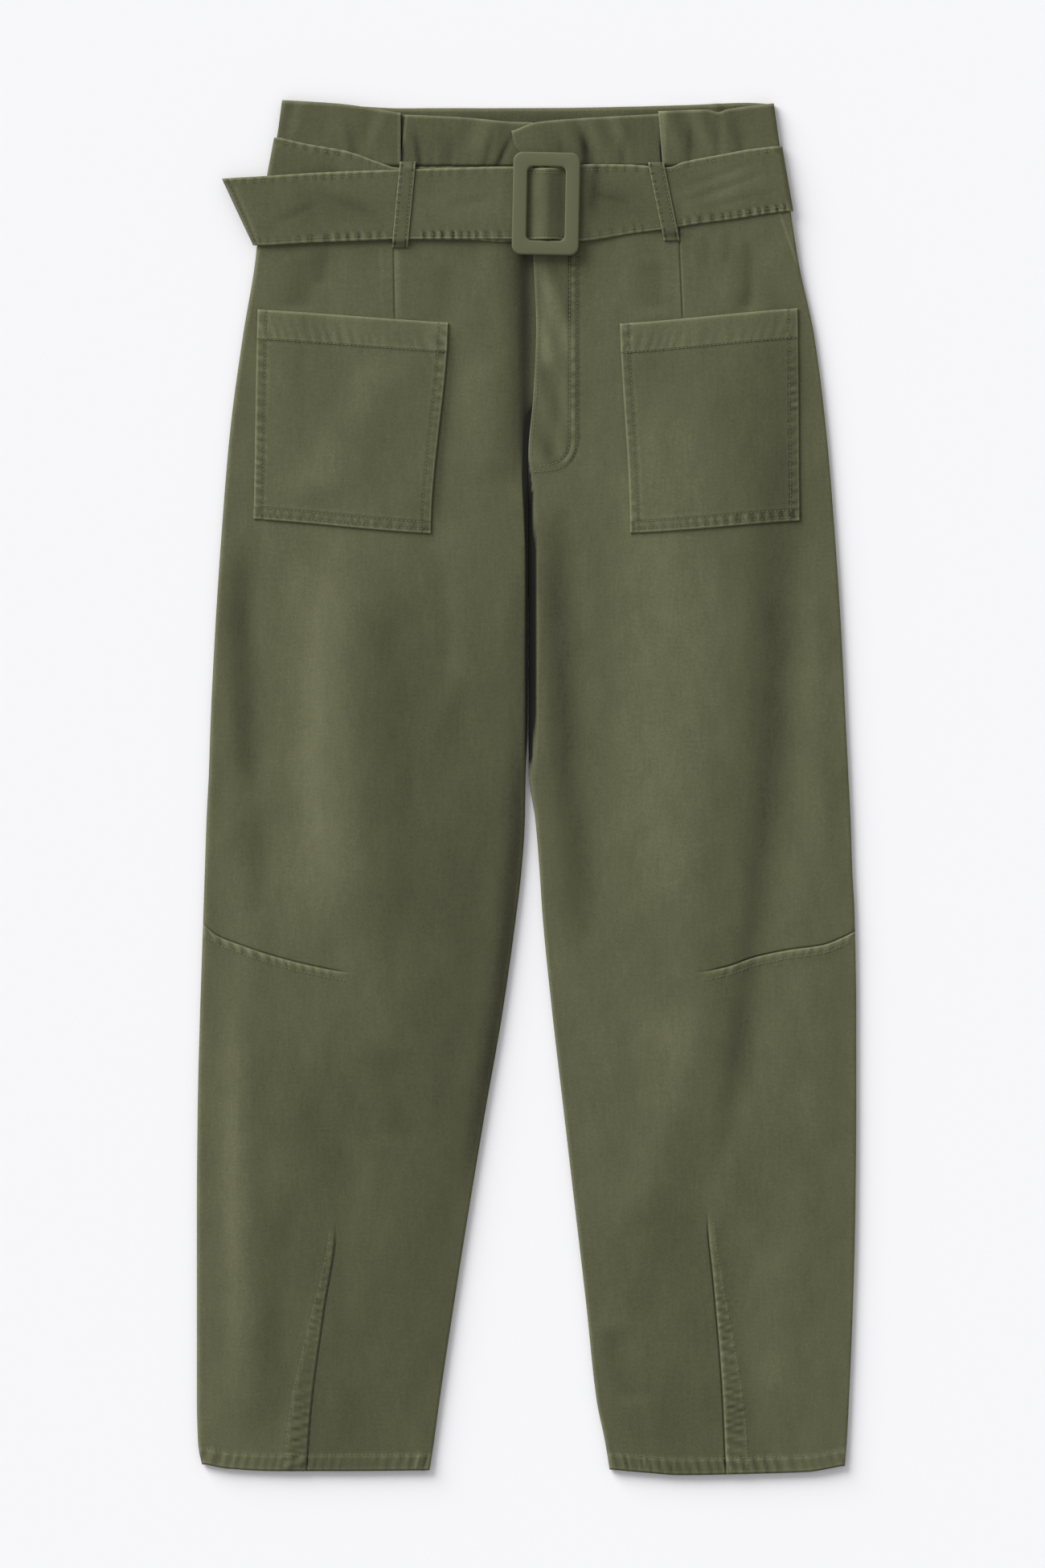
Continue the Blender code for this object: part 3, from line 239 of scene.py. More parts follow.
def frontHeight(leg, s, y):
    cutLine = legs[leg]
    low = smooth(400, 345, y)
    inward = np.maximum(s - cutLine["inseam"](y), 0)
    full = smooth(-6, loft["wide"], inward) * smooth(0, loft["wide"], cutLine["side"](y) - s)
    hemLine = cutLine["hem"](s) + cut["hemDepth"]
    height = (cut["frontTop"] + cut["frontLift"] * smooth(352, 412, y) + dartHeight(leg, s, y)
              + foldHeight(folds, leg, s, y) * (1 + 1.5 * low)
              + foldHeight(creases, leg, s, y) * (0.8 + 1.4 * low)
              + loft["high"] * full * low * smooth(-512, -440, y)
              + cut["hemRise"] * smooth(hemLine + 3, hemLine - 2, y))
    if leg == "right":  # the underlap dips above the crotch, and the inner thigh bulges below it
        height = height - 2.3 * smooth(24, 0, s) * within(y, 212, 236, 392, 412)
        height = height + 1.2 * smooth(46, 6, s) * within(y, -70, 10, 205, 238)
        return np.maximum(height, cut["frontLowest"])
    height = height + 0.5 * smooth(1.12, 0.88, flyReach(s, y))
    height = height + 0.9 * smooth(40, 8, s) * within(y, -50, 20, 200, 228)
    height = np.maximum(height, cut["frontLowest"])
    return height - (height - canyon["floor"]) * smooth(1.8, -1.4, s - canyon["left"](y)) * inCanyon(y)


def backHeight(y, x):
    overLoop = backLoops["lift"] * smooth(28, 13, abs(abs(x) - backLoops["x"]))
    return cut["backLift"] * within(y, 392, 415, 494, 509) + overLoop * within(y, 395, 415, 495, 509)


def rollIn(turn):  # turn 0 to 1 goes round an edge: the share of the roll's width still to go
    return 1 - np.sin(np.minimum(turn * 1.25, 1) * math.pi / 2)


def rollDown(turn, height, bottom):  # the height on the way round, which ends upright
    upright = 0.4 * smooth(1.0, 0.8, turn)
    return bottom + upright + (height - bottom - upright) * np.cos(np.minimum(turn * 1.25, 1) * math.pi / 2)


def spread(*steps):  # positions along guides: how many steps follow each guide
    found = [guide + k / count for guide, count in enumerate(steps) for k in range(count)]
    return np.array(found + [float(len(steps))])


def between(guides, positions):  # guides is a list of arrays; positions says where between them
    guides = np.array(np.broadcast_arrays(*guides))
    whole = np.minimum(positions.astype(int), len(guides) - 2)
    share = positions - whole
    index = np.indices(positions.shape)
    low = guides[(whole, *index)]
    high = guides[(whole + 1, *index)]
    return low * (1 - share) + high * share


def frontDetail(leg, s, y):  # fine relief of a front panel, and its wear with painted light and shade
    cutLine = legs[leg]
    relief = np.zeros(s.shape)
    wearLightAndShade = foldLightAndShade(leg, s, y)
    tuckOut, byTuck = s - cutLine["tuck"](y), smooth(346, 352, y)
    bands = [  # distance from the edge, run along it, width, share, strength, seed
        (cutLine["kneeDart"](s) - y, s, 7.0,
         smooth(cutLine["kneeTip"] - 2, cutLine["kneeTip"] + 18, s), 0.38, 1.3),
        (s - cutLine["hemDart"](y), y, dartWide(leg, y),
         smooth(cutLine["dartTip"] + 2, cutLine["dartTip"] - 20, y), 0.4, 2.1),
        (y - cutLine["hem"](s), s, cut["hemDepth"], 1.0, 0.34, 0.4),
        (tuckOut, y, 10.5, 0.45 * byTuck, 0.2, 3.2),
    ]
    for distance, run, wide, share, strength, seed in bands:
        puckered = pucker(run + 0.3 * distance, seed + (1.9 if leg == "left" else 0.0))
        puckered = puckered * strength * share * within(distance, 0, 1.4, wide - 1.8, wide + 1.2)
        relief += 1.25 * puckered - 0.32 * share * crest(distance - wide, 0.9)
        # the puckers are painted paler on their ridges and darker in their dimples, partly wash wear and
        # partly painted light and shade; a pale worn line runs inside the seam and a darker line, painted
        # shade, lies in its groove
        wearLightAndShade += share * (1.3 * puckered + 0.7 * crest(distance - 1.0, 0.9) - 0.8 * crest(distance + 0.4, 0.7)
                         + 0.35 * crest(distance - wide + 1.4, 0.9))
    relief -= 0.35 * byTuck * smooth(1.3, 0, abs(tuckOut))
    # the tuck's groove is painted darker, painted shade, with a pale line beside it
    wearLightAndShade -= byTuck * (0.6 * smooth(1.3, 0, abs(tuckOut)) - 0.55 * crest(tuckOut + 1.6, 0.8))
    if leg == "right":  # painted shadow beside the pocket's inner edge, and painted shade in the deep crease towards the left leg
        inner, _, top, foot = pocketAway(leg, s, y)
        wearLightAndShade -= 0.75 * smooth(0, 25, foot) * smooth(0, 30, top) * smooth(-1, 1, -inner) * crest(inner, 7.0)
        wearLightAndShade -= inCanyon(y) * (2.2 * smooth(2.6, -0.8, s - canyon["right"](y)) + 0.55 * smooth(5, 0, s))
    else:
        above = smooth(238, 246, y)
        flyIn = (1 - flyReach(s, y)) * fly["reach"]
        # the fly's two stitch rows sink in as grooves and are painted darker there, painted shade
        for inset in (0.0, fly["innerStitch"]):
            relief -= 0.35 * above * crest(flyIn - inset, 0.9)
            wearLightAndShade -= (0.7 + 0.5 * smooth(262, 245, y)) * above * crest(flyIn - inset, 0.8)
        strip = above * within(flyIn, 0, 1.4, fly["innerStitch"] - 1.6, fly["innerStitch"])
        alongFly = y + 0.9 * smooth(262, 225, y) * s
        puckered = pucker(alongFly, 5.0, 8.6)
        relief += 0.3 * strip * puckered
        wearLightAndShade += strip * (0.1 + 0.5 * puckered)
        wearLightAndShade += 0.3 * above * smooth(3, 0.5, abs(flyIn + 2)) * pucker(alongFly, 1.0, 6.4)
        inFly = above * smooth(0, 3, flyIn) * smooth(412, 400, y)
        relief += inFly * (0.14 * np.sin(y / 9.0 + s / 5.0) * np.sin(s / 4.6 - y / 40.0)
                           + 0.1 * np.sin(s / 3.4 + y / 90.0))
        wearLightAndShade += inFly * (0.10 * np.sin(s / 4.2 + 0.9 * np.sin(y / 17.0)) + 0.14 * np.sin(y / 8.0 + s / 3.0))
        wearLightAndShade += 0.65 * above * crest(s - lapEdge(y) - 0.5, 0.6)
        # painted shade, near black, in the deep crease between the legs
        wearLightAndShade -= 3.0 * inCanyon(y) * smooth(0.9, -1.1, s - canyon["left"](y))
        byCrease, crease = smooth(385, 395, y), s - 191 - (426 - y) * 0.34  # a slanted crease below the belt
        relief -= 0.3 * byCrease * crest(crease, 0.9)
        wearLightAndShade += 0.7 * byCrease * crest(crease + 1.6, 0.9)
    # the cloth is never quite flat
    relief += 0.10 * np.sin(s / 9.1 + y / 33.0) * np.sin(y / 14.3 - s / 41.0)
    relief += 0.07 * np.sin(s / 4.7 - y / 21.0 + 2.0) * np.sin(y / 7.9 + s / 17.0)
    return relief, np.clip(wearLightAndShade, -1.8, 1)


def pieceFrom(bm, name):  # the finished bmesh as a smooth object in the scene
    mesh = bpy.data.meshes.new(name)
    bm.to_mesh(mesh)
    bm.free()
    mesh.shade_smooth()
    piece = bpy.data.objects.new(name, mesh)
    bpy.context.scene.collection.objects.link(piece)
    return piece


def joinRings(bm, rings, followings):
    for ring, following in zip(rings, followings):
        for k in range(len(ring)):
            after = (k + 1) % len(ring)
            bm.faces.new((ring[k], ring[after], following[after], following[k]))


# a grid of cloth with its wall, and its wear and painted light and shade as a per-point attribute, which
# takes a node's place; turned where it would face the wrong way
def clothPiece(name, node, x, y, z, wall, wearLightAndShade, slot="twill", turned=False, centred=False):
    rows, columns = x.shape
    bm = bmesh.new()
    bmesh.ops.create_grid(bm, x_segments=columns - 1, y_segments=rows - 1, size=0.5)
    wearLightAndShadeLayer = bm.verts.layers.float.new("wearLightAndShade")
    for vert in bm.verts:
        c = round((vert.co.x + 0.5) * (columns - 1))
        r = round((vert.co.y + 0.5) * (rows - 1))
        vert.co = (x[r, c] * mm, y[r, c] * mm, z[r, c] * mm)
        vert[wearLightAndShadeLayer] = wearLightAndShade[r, c]
    if turned:
        bmesh.ops.reverse_faces(bm, faces=bm.faces)
    piece = pieceFrom(bm, name)
    thick = piece.modifiers.new("wall", "SOLIDIFY")
    thick.thickness = wall * mm
    thick.offset = 0.0 if centred else -1.0
    thick.use_even_offset = False
    return finishPiece(piece, twill, slot, node)


def legPiece(leg, name, node, s, *shape, **also):  # the same piece on either leg
    return clothPiece(f"{name}_{leg}", f"{node}_{leg}", s * legs[leg]["sign"], *shape, **also)


def finishPiece(piece, material, slot, *nodes):
    piece.data.materials.append(material)
    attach(piece, "root")
    if nodes:
        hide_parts(*nodes)
    print("made", piece.name)
    return piece


# the grid of a front panel: how many steps from each seam, pocket edge and dart to the next
frontColumns = spread(24, 14, 8, 2, 2, 10, 4, 4, 34, 10)
frontRows = spread(32, 9, 34, 14, 14, 8, 95, 5, 7, 135, 7)
rollSteps = 5


def frontEdge(leg, y):  # the left front laps over the right, which runs on below it
    return lapEdge(y) if leg == "left" else -lapEdge(y) - fly["underlap"]


def innerEdge(leg, y):
    inseam = legs[leg]["inseam"](y)
    upper, lower = fly["rows"][1:] if leg == "left" else fly["rows"][:2]
    return inseam + (frontEdge(leg, y) - inseam) * smooth(lower, upper, y)


def innerRoll(leg, y):
    wide = 2.4 + (4.5 if leg == "left" else 0.6) * smooth(-40, 40, y)
    return wide, smooth(fly["rows"][1], fly["rows"][2], y) if leg == "left" else smooth(*fly["rows"][:2], y)


def columnGuides(leg, y):
    cutLine = legs[leg]
    spare = 10 * smooth(cutLine["dartTip"], cutLine["dartTip"] + 60, y) + 1.6
    dart = cutLine["hemDart"](y)
    inner = innerEdge(leg, y) + innerRoll(leg, y)[0]
    byPocket = cutLine["pocketInner"](y)
    tuck = byPocket + (dart - spare - byPocket) * 0.5
    tuck = tuck + (cutLine["tuck"](y) - tuck) * smooth(290, 345, y)
    return [inner, np.maximum(cutLine["flyLine"](y), inner + 6), byPocket, tuck - 1.2, tuck, tuck + 1.2,
            dart - spare, dart, dart + spare, cutLine["pocketOuter"](y), sideAt(leg, y) - cut["sideRoll"]]


def waistSeam(leg, s):  # the left front's waist seam climbs under the belt towards its side
    return cut["waistY"] + (cut["waistClimb"] * smooth(75, 175, s) if leg == "left" else 0 * s)


def sideAt(leg, y):
    return np.where(y > cut["waistY"], legs[leg]["waistSide"](y), legs[leg]["side"](y))


def rowGuides(leg, s, seamY):
    cutLine = legs[leg]
    knee = cutLine["kneeDart"](s)
    spare = 8 * smooth(cutLine["kneeTip"], cutLine["kneeTip"] - 40, s) + 1.6
    mouth = cutLine["mouth"](s)
    hem = cutLine["hem"](s)
    return [seamY - cut["seamGap"], mouth, mouth - cut["pocketHem"], *fly["rows"],
            cutLine["pocketFoot"](s), knee + spare, knee, knee - spare, hem + cut["hemDepth"], hem]


def onPanel(leg, columnAt, rowAt):
    s, y = np.full(columnAt.shape, 120.0), 0.0
    for _ in range(5):
        y = between(rowGuides(leg, s, waistSeam(leg, s)), rowAt)
        s = between(columnGuides(leg, y), columnAt)
    return s, between(rowGuides(leg, s, waistSeam(leg, s)), rowAt)


def pocketAway(leg, s, y):  # distances from the pocket's inner, outer, upper and lower edge
    cutLine = legs[leg]
    return (s - cutLine["pocketInner"](y), cutLine["pocketOuter"](y) - s,
            cutLine["mouth"](s) - y, y - cutLine["pocketFoot"](s))


def frontSurface(leg, s, y):  # the face of a front panel, plain under its pocket and at its waist seam
    relief, wearLightAndShade = frontDetail(leg, s, y)
    covered = np.prod([smooth(-1.5, 0.5, distance) for distance in pocketAway(leg, s, y)], axis=0)
    relief = relief * (1 - covered) * smooth(waistSeam(leg, s), waistSeam(leg, s) - 5, y)
    return np.maximum(frontHeight(leg, s, y) + relief, cut["faceLowest"]), wearLightAndShade


def rolledColumns(columns, rowAt):  # step, row, and how far round the inner and the outer roll
    steps = np.arange(columns + 1 + 2 * rollSteps)[None, :] - rollSteps
    steps, rowAt = np.broadcast_arrays(steps, rowAt[:, None])
    return steps, rowAt, np.clip(-steps / rollSteps, 0, 1), np.clip((steps - columns) / rollSteps, 0, 1)


def sideSeamUp(y):
    return cut["seamUp"] + backHeight(y, 0.0)


def frontPanel(leg):
    last = len(frontColumns) - 1
    steps, rowAt, innerTurn, outerTurn = rolledColumns(last, frontRows[::-1])
    s, y = onPanel(leg, frontColumns[np.clip(steps, 0, last)], rowAt)
    wide, down = innerRoll(leg, y)
    edge = innerEdge(leg, y)
    plain = edge + wide * (1 - innerTurn)
    s = np.where(steps < 0, plain + (edge + wide * rollIn(innerTurn) - plain) * down, s)
    s = np.where(outerTurn > 0, sideAt(leg, y) - cut["sideRoll"] * rollIn(outerTurn), s)
    face, wearLightAndShade = frontSurface(leg, s, y)
    face = face + (frontHeight(leg, s, y) - face) * np.maximum(innerTurn * down, outerTurn)
    innerDown = rollDown(innerTurn, face, cut["seamUp"] + cut["seamGap"] / 2)
    outerDown = rollDown(outerTurn, face, sideSeamUp(y) + cut["seamGap"] / 2)
    height = np.where(steps < 0, face + (innerDown - face) * down, np.where(outerTurn > 0, outerDown, face))
    wearLightAndShade = wearLightAndShade + 0.35 * crest(sideAt(leg, y) - s - 1.2, 1.6) * smooth(1, 0.6, outerTurn)
    wearLightAndShade = wearLightAndShade + 0.35 * down * crest(s - edge - 1.0, 1.4) * smooth(1, 0.6, innerTurn)
    return legPiece(leg, "front_panel", "front", s, y, height, cut["wall"], wearLightAndShade, turned=leg == "right")


# rows of stitches on a pocket: how far in from its sides, and from its foot
pocketRows = dict(sides=6.6, foot=(3.0, 8.4))


def pocketDetail(leg, s, y):
    inner, outer, top, foot = pocketAway(leg, s, y)
    seed = 1.0 if leg == "right" else 4.0
    low, high = pocketRows["foot"]
    edges = [(inner, y, 2.0, pocketRows["sides"]), (outer, y, 3.5, pocketRows["sides"]), (foot, s, 5.0, high)]
    relief = 0.28 * smooth(23.5, 20.5, top) - 0.25 * crest(top - 22, 1.0) - 0.2 * crest(foot - low, 0.8)
    relief += 0.2 * pucker(s, seed, 8.2) * within(top, 10, 20, 22.5, 27)
    relief += 0.16 * pucker(s, seed + 1, 9.5) * within(top, 0, 3, 8, 14)
    # its tone: painted light and shade from the folds, pale worn edges, puckers painted paler and darker with
    # their relief, and its stitch rows and hem fold painted darker as painted shade in their grooves
    wearLightAndShade = foldLightAndShade(leg, s, y) - 0.06 + 0.8 * crest(top - 0.8, 0.9) + 0.4 * crest(top - 20.6, 0.9)
    for distance, run, shift, seam in edges:
        band = within(distance, 0, 2, 6.5, 10.5)
        folded = pucker(run + 0.3 * distance, seed + shift)
        relief += 0.38 * band * pucker(run, seed + shift) - 0.28 * crest(distance - seam, 0.8)
        wearLightAndShade += 0.8 * crest(distance - 0.7, 0.8) + (0.5 * folded + 0.12 * abs(folded) - 0.08) * band
        wearLightAndShade -= 0.5 * crest(distance - seam, 0.8) - 0.2 * crest(distance - seam - 2, 1.0)
    wearLightAndShade -= 0.35 * crest(foot - low, 0.7) + 0.7 * crest(top - 22.3, 0.8) - 0.22 * smooth(22, 20, top)
    wearLightAndShade += 0.38 * pucker(s + 0.3 * top, seed, 8.2) * within(top, 4, 18, 22, 23)
    relief -= 0.25 * smooth(1.6, 0, np.minimum(np.minimum(top, foot), np.minimum(inner, outer)))
    relief += 0.09 * np.sin(s / 8.3 + y / 27.0 + seed) * np.sin(y / 11.9 - s / 35.0)
    return relief, np.clip(wearLightAndShade, -0.85, 1.2)


def pocketSurface(leg, s, y):
    relief, wearLightAndShade = pocketDetail(leg, s, y)
    return frontHeight(leg, s, y) + cut["seamGap"] + cut["pocketWall"] + relief, wearLightAndShade


def pocket(leg):
    cutLine = legs[leg]
    # distances from the edges, close together where they are sewn
    seam = np.array([0, 0.9, 1.9, 3.1, 4.4, 5.6, 6.6, 7.6, 9.2, 10.8])
    hem = np.array([0, 1, 2.2, 4.5, 8, 12, 16, 19, 20.6, 21.5, 22.3, 23.1, 24.6])
    foot = np.array([0, 1, 2, 3, 4, 5.2, 6.4, 7.5, 8.4, 9.3, 10.6])
    share = np.linspace(0, 1, 47)[1:-1]
    up = np.linspace(0, 1, 43)[1:-1]
    # every column and row is a share of the width or height plus a distance from an edge
    columnShare = np.concatenate([0 * seam, share, 1 + 0 * seam])[None, :]
    columnAway = np.concatenate([seam, seam[-1] * (1 - 2 * share), -seam[::-1]])[None, :]
    rowShare = np.concatenate([0 * foot, up, 1 + 0 * hem])[:, None]
    rowAway = np.concatenate([foot, foot[-1] + (-hem[-1] - foot[-1]) * up, -hem[::-1]])[:, None]
    y = 200 + 150 * rowShare
    for _ in range(5):
        inner, outer = cutLine["pocketInner"](y), cutLine["pocketOuter"](y)
        s = inner + (outer - inner) * columnShare + columnAway
        y = cutLine["pocketFoot"](s) + (cutLine["mouth"](s) - cutLine["pocketFoot"](s)) * rowShare + rowAway
    height, wearLightAndShade = pocketSurface(leg, s, y)
    return legPiece(leg, "patch_pocket", "pocket", s, y, height, cut["pocketWall"], wearLightAndShade,
                    turned=leg == "right")


def backPanel(leg):
    cutLine = legs[leg]
    columns, innerWide, half = 44, 2.2, cut["seamGap"] / 2
    rows = spread(10, 4, 10, 5, 5, 4, 40, 3, 3, 44, 5)[::-1]
    steps, rowAt, innerTurn, outerTurn = rolledColumns(columns, rows)
    y = np.zeros(steps.shape)
    for _ in range(3):
        rolled = innerWide * smooth(cut["crotchY"] + 14, cut["crotchY"] - 6, y)
        inner = np.where(y < cut["crotchY"], cutLine["inseam"](y), half)
        inner = inner + (half - inner) * smooth(cut["crotchY"] - 20, cut["crotchY"], y)
        outer = cutLine["side"](y)
        s = inner + innerWide + np.clip(steps / columns, 0, 1) * (outer - cut["sideRoll"] - inner - innerWide)
        y = between(rowGuides(leg, s, cut["waistY"]), rowAt)
    s = np.where(steps < 0, inner + rolled * rollIn(innerTurn) + (innerWide - rolled) * (1 - innerTurn), s)
    s = np.where(outerTurn > 0, outer - cut["sideRoll"] * rollIn(outerTurn), s)
    upHem = y - cutLine["hem"](s)
    plain = backHeight(y, s * cutLine["sign"])
    flat = plain + 0.22 * within(upHem, 0.5, 2, 11, 14) * (0.5 + 0.5 * pucker(s, 6.0))
    seam = plain + cut["seamUp"] - half
    innerUp = -rollDown(innerTurn, -flat, -(seam - 0.7 * smooth(70, 125, y)))
    outerUp = -rollDown(outerTurn, -flat, -seam)
    height = np.where(steps < 0, flat + (innerUp - flat) * rolled / innerWide,
                      np.where(outerTurn > 0, outerUp, flat))
    return legPiece(leg, "back_panel", "back", s, y, height, cut["wall"], 0 * s, turned=leg == "left")


def bandFront(leg):
    cutLine = legs[leg]
    columns = 80
    found = rolledColumns(columns, np.linspace(0, 1, 19))
    steps, share, _, turn = [values[:, rollSteps:] for values in found]  # it has no inner roll
    body = np.clip(steps / columns, 0, 1)
    s = 200 * body
    for _ in range(3):
        foot = waistSeam(leg, s) + cut["seamGap"]
        y = foot + (cut["frillY"] - foot - cut["seamGap"]) * share
        outer = cutLine["waistSide"](y) - cut["sideRoll"]
        s = frontEdge(leg, y) + (outer - frontEdge(leg, y)) * body
    s = np.where(turn > 0, outer + cut["sideRoll"] * (1 - rollIn(turn)), s)
    upBand = y - waistSeam(leg, s)
    face = frontHeight(leg, s, y) - (cut["wall"] - cut["bandWall"])
    face = face + 0.16 * pucker(s, 2.6, 12.0) * smooth(2, 8, upBand) * (1 - turn)
    face = face - 0.25 * smooth(2.4, 0, upBand) - 0.2 * smooth(2.4, 0, cut["frillY"] - cut["seamGap"] - y)
    height = np.where(turn > 0, rollDown(turn, face, sideSeamUp(y) + cut["seamGap"] / 2), face)
    wearLightAndShade = 0.4 * crest(y - cut["frillY"] + 2.0, 1.2)
    return legPiece(leg, "waistband", "waistband_front", s, y, height, cut["bandWall"], wearLightAndShade,
                    turned=leg == "right")


backFrillTop = line((-186, 509.5), (-144, 509.1), (-93, 506.7), (27, 507.0), (117, 509.1), (165, 510.9),
                    (184, 509.7))
# two small tucks in the frill behind
backTucks = dict(at=(-144.3, 141.3), deep=1.8, half=5.0)


def sideRolledBack(name, node, columns, rows, topY, wall, dent):
    steps, share, leftTurn, rightTurn = rolledColumns(columns, np.linspace(0, 1, rows + 1))
    x = np.zeros(steps.shape)
    for _ in range(3):
        y = topY(x, share)
        left, right = -legs["right"]["waistSide"](y), legs["left"]["waistSide"](y)
        x = left + cut["sideRoll"] + (right - left - 2 * cut["sideRoll"]) * np.clip(steps / columns, 0, 1)
    turn = np.maximum(leftTurn, rightTurn)
    across = cut["sideRoll"] * rollIn(turn)
    flat = backHeight(y, x)
    up = -rollDown(turn, -flat, -(flat + cut["seamUp"] - cut["seamGap"] / 2))
    x = np.where(steps < 0, left + across, np.where(steps > columns, right - across, x))
    # paler along the top edge, and darker below it: painted shade on the inner face that shows behind the
    # front
    fromTop = topY(x, 1.0) - y
    return clothPiece(name, node, x, y, np.where(turn > 0, up, flat + dent(x, y)), wall,
                      0.45 * smooth(3, 1, fromTop) - 0.6 * smooth(1.5, 4, fromTop), turned=True)


def backBandAndFrill():
    def bandY(x, share):
        return cut["waistY"] + (cut["frillY"] - cut["waistY"] - cut["seamGap"]) * share

    def frillTopY(x, share):
        return cut["frillY"] + (backFrillTop(x) - cut["frillY"]) * share

    def tucks(x, y):
        opened = smooth(cut["frillY"], cut["frillY"] + 20, y)
        found = sum(smooth(backTucks["half"], 0, abs(x - tuck)) for tuck in backTucks["at"])
        return backTucks["deep"] * opened * found + 0.15 * opened * (1 + pucker(x, 1.0, 17.0))

    def plain(x, y):
        return 0 * x

    return (sideRolledBack("waistband_at_back", "waistband_back", 90, 10, bandY, cut["bandWall"], plain),
            sideRolledBack("frill_at_back", "frill_back", 130, 14, frillTopY, cut["frillWall"], tucks))


# the knife pleat of a front frill: how far its fold goes back, how far apart its layers lie and how high
pleat = dict(deep=6.0, pitch=1.2, floor=3.45, up=5.5, creaseS=143.5)
frills = dict(
    right=dict(foldFoot=94.5, foldTop=94.5, gap=4.2, outer=line((94, 503.1), (140, 510), (182, 512.7)),
               inner=line((-16, 496), (9, 496.5), (50, 500), (92, 501.9)), innerUp=4.4, seed=1.2),
    left=dict(foldFoot=101.7, foldTop=98.5, gap=0.8,
              outer=line((98, 504.4), (134.7, 505.6), (142.5, 503.7), (150, 506), (184, 510.3)),
              inner=line((-10, 489.9), (5.7, 495.9), (20.7, 497.7), (98, 502.5)), innerUp=5.9, seed=3.0),
)


# creases drawn in above the belt, also painted darker as painted shade: where each starts, how far it slants,
# width, depth
frillCreases = dict(
    right=[(23, -16, 2.6, 1.0), (32, -8, 2.2, 0.7), (80, 6, 3.0, 0.8), (60, -4, 5.0, 0.5),
           (128, 8, 4.0, 0.5)],
    left=[(45, -4, 4.5, 1.0), (70, 5, 4.0, 0.4), (26, -3, 3.0, 0.4), (120, 3, 3.0, 0.6), (160, -6, 4.0, 0.5)],
)


def frillSection(leg, share):  # one row across the pleated cloth from the side inwards: s, height, stretch
    lines = frills[leg]
    fold = lines["foldFoot"] + (lines["foldTop"] - lines["foldFoot"]) * share
    radius = pleat["pitch"] / 2
    upper = pleat["floor"] + 2 * pleat["pitch"]
    y = cut["frillY"] + cut["frillHigh"] * share
    start = float(legs[leg]["waistSide"](y)) - cut["frillWall"] / 2
    row = []
    for turn in np.linspace(1, 0, rollSteps + 1)[:-1]:
        height = rollDown(turn, pleat["up"], sideSeamUp(y) + cut["seamGap"] / 2)
        row.append((start - cut["sideRoll"] * rollIn(turn), height, "outer"))
    for s in np.linspace(start - cut["sideRoll"], fold + radius, 41):
        crease = 0.7 * smooth(4, 0, abs(s - pleat["creaseS"])) if leg == "left" else 0.0
        risen = (upper - pleat["up"]) * smooth(fold + 15, fold + 8, s)
        row.append((s, pleat["up"] + risen - crease, "outer"))
    for turn in np.linspace(0, math.pi, 9)[1:]:
        row.append((fold + radius - radius * math.sin(turn), upper - radius * (1 - math.cos(turn)), "outer"))
    for turn in np.linspace(0, math.pi, 9):
        row.append((fold + pleat["deep"] + radius * math.sin(turn),
                    upper - pleat["pitch"] - radius * (1 - math.cos(turn)), "both"))
    start = fold - lines["gap"] * share - 0.2
    row.append((start + 0.4, pleat["floor"], "inner"))
    for s in np.linspace(start, float(frontEdge(leg, y)), 50):
        risen = 1 if leg == "right" else smooth(start, start - 22, s)
        height = pleat["floor"] + (pleat["up"] - pleat["floor"]) * risen
        row.append((s, height + (lines["innerUp"] - height) * smooth(34, 10, s), "inner"))
    return row


def frillFront(leg):
    lines = frills[leg]
    foot = lines["foldFoot"]
    rows = []
    for share in np.linspace(0, 1, 17):
        made = []
        for s, height, stretch in frillSection(leg, share):
            outer, inner = lines["outer"](s), lines["inner"](s)
            top = {"outer": outer, "inner": inner, "both": (outer + inner) / 2}[stretch]
            y = cut["frillY"] + (top - cut["frillY"]) * share
            free = 0 if stretch == "both" else 1
            clear = smooth(foot - 12, foot - 22, s) + smooth(foot + 4, foot + 16, s)
            # painted shade under and behind the pleat's fold
            shadeUnderFold = smooth(foot - 3, foot - 0.5, s) if stretch == "inner" else 1 - free
            ripple = 0.45 * free * smooth(0.05, 0.6, share) * pucker(s + 14 * share, lines["seed"], 36.0)
            ripple += 0.22 * free * smooth(0.5, 0.05, share) * pucker(s, 0.7, 7.5)
            # a pale line along the top edge, painted shade under the fold, and ripples painted paler on their
            # ridges and darker in their hollows: painted light and shade
            wearLightAndShade = 0.8 * smooth(2.6, 0.8, top - y) * (1 - shadeUnderFold) - 2.2 * shadeUnderFold + 0.5 * ripple - 0.16
            if stretch == "outer":
                wearLightAndShade += 0.7 * smooth(foot + 3, foot + 0.8, s)
            for start, slant, wide, deep in frillCreases[leg]:
                drawnIn = deep * free * smooth(1.0, 0.3, share) * crest(s - start - slant * share, wide)
                ripple -= 0.6 * drawnIn
                wearLightAndShade -= 0.8 * drawnIn
            made.append((s, y, height + ripple * min(1, clear), wearLightAndShade))
        rows.append(made)
    s, y, height, wearLightAndShade = np.moveaxis(np.array(rows, float), 2, 0)
    return legPiece(leg, "frill", "frill_front", s, y, height, cut["frillWall"], wearLightAndShade, turned=leg == "left",
                    centred=True)


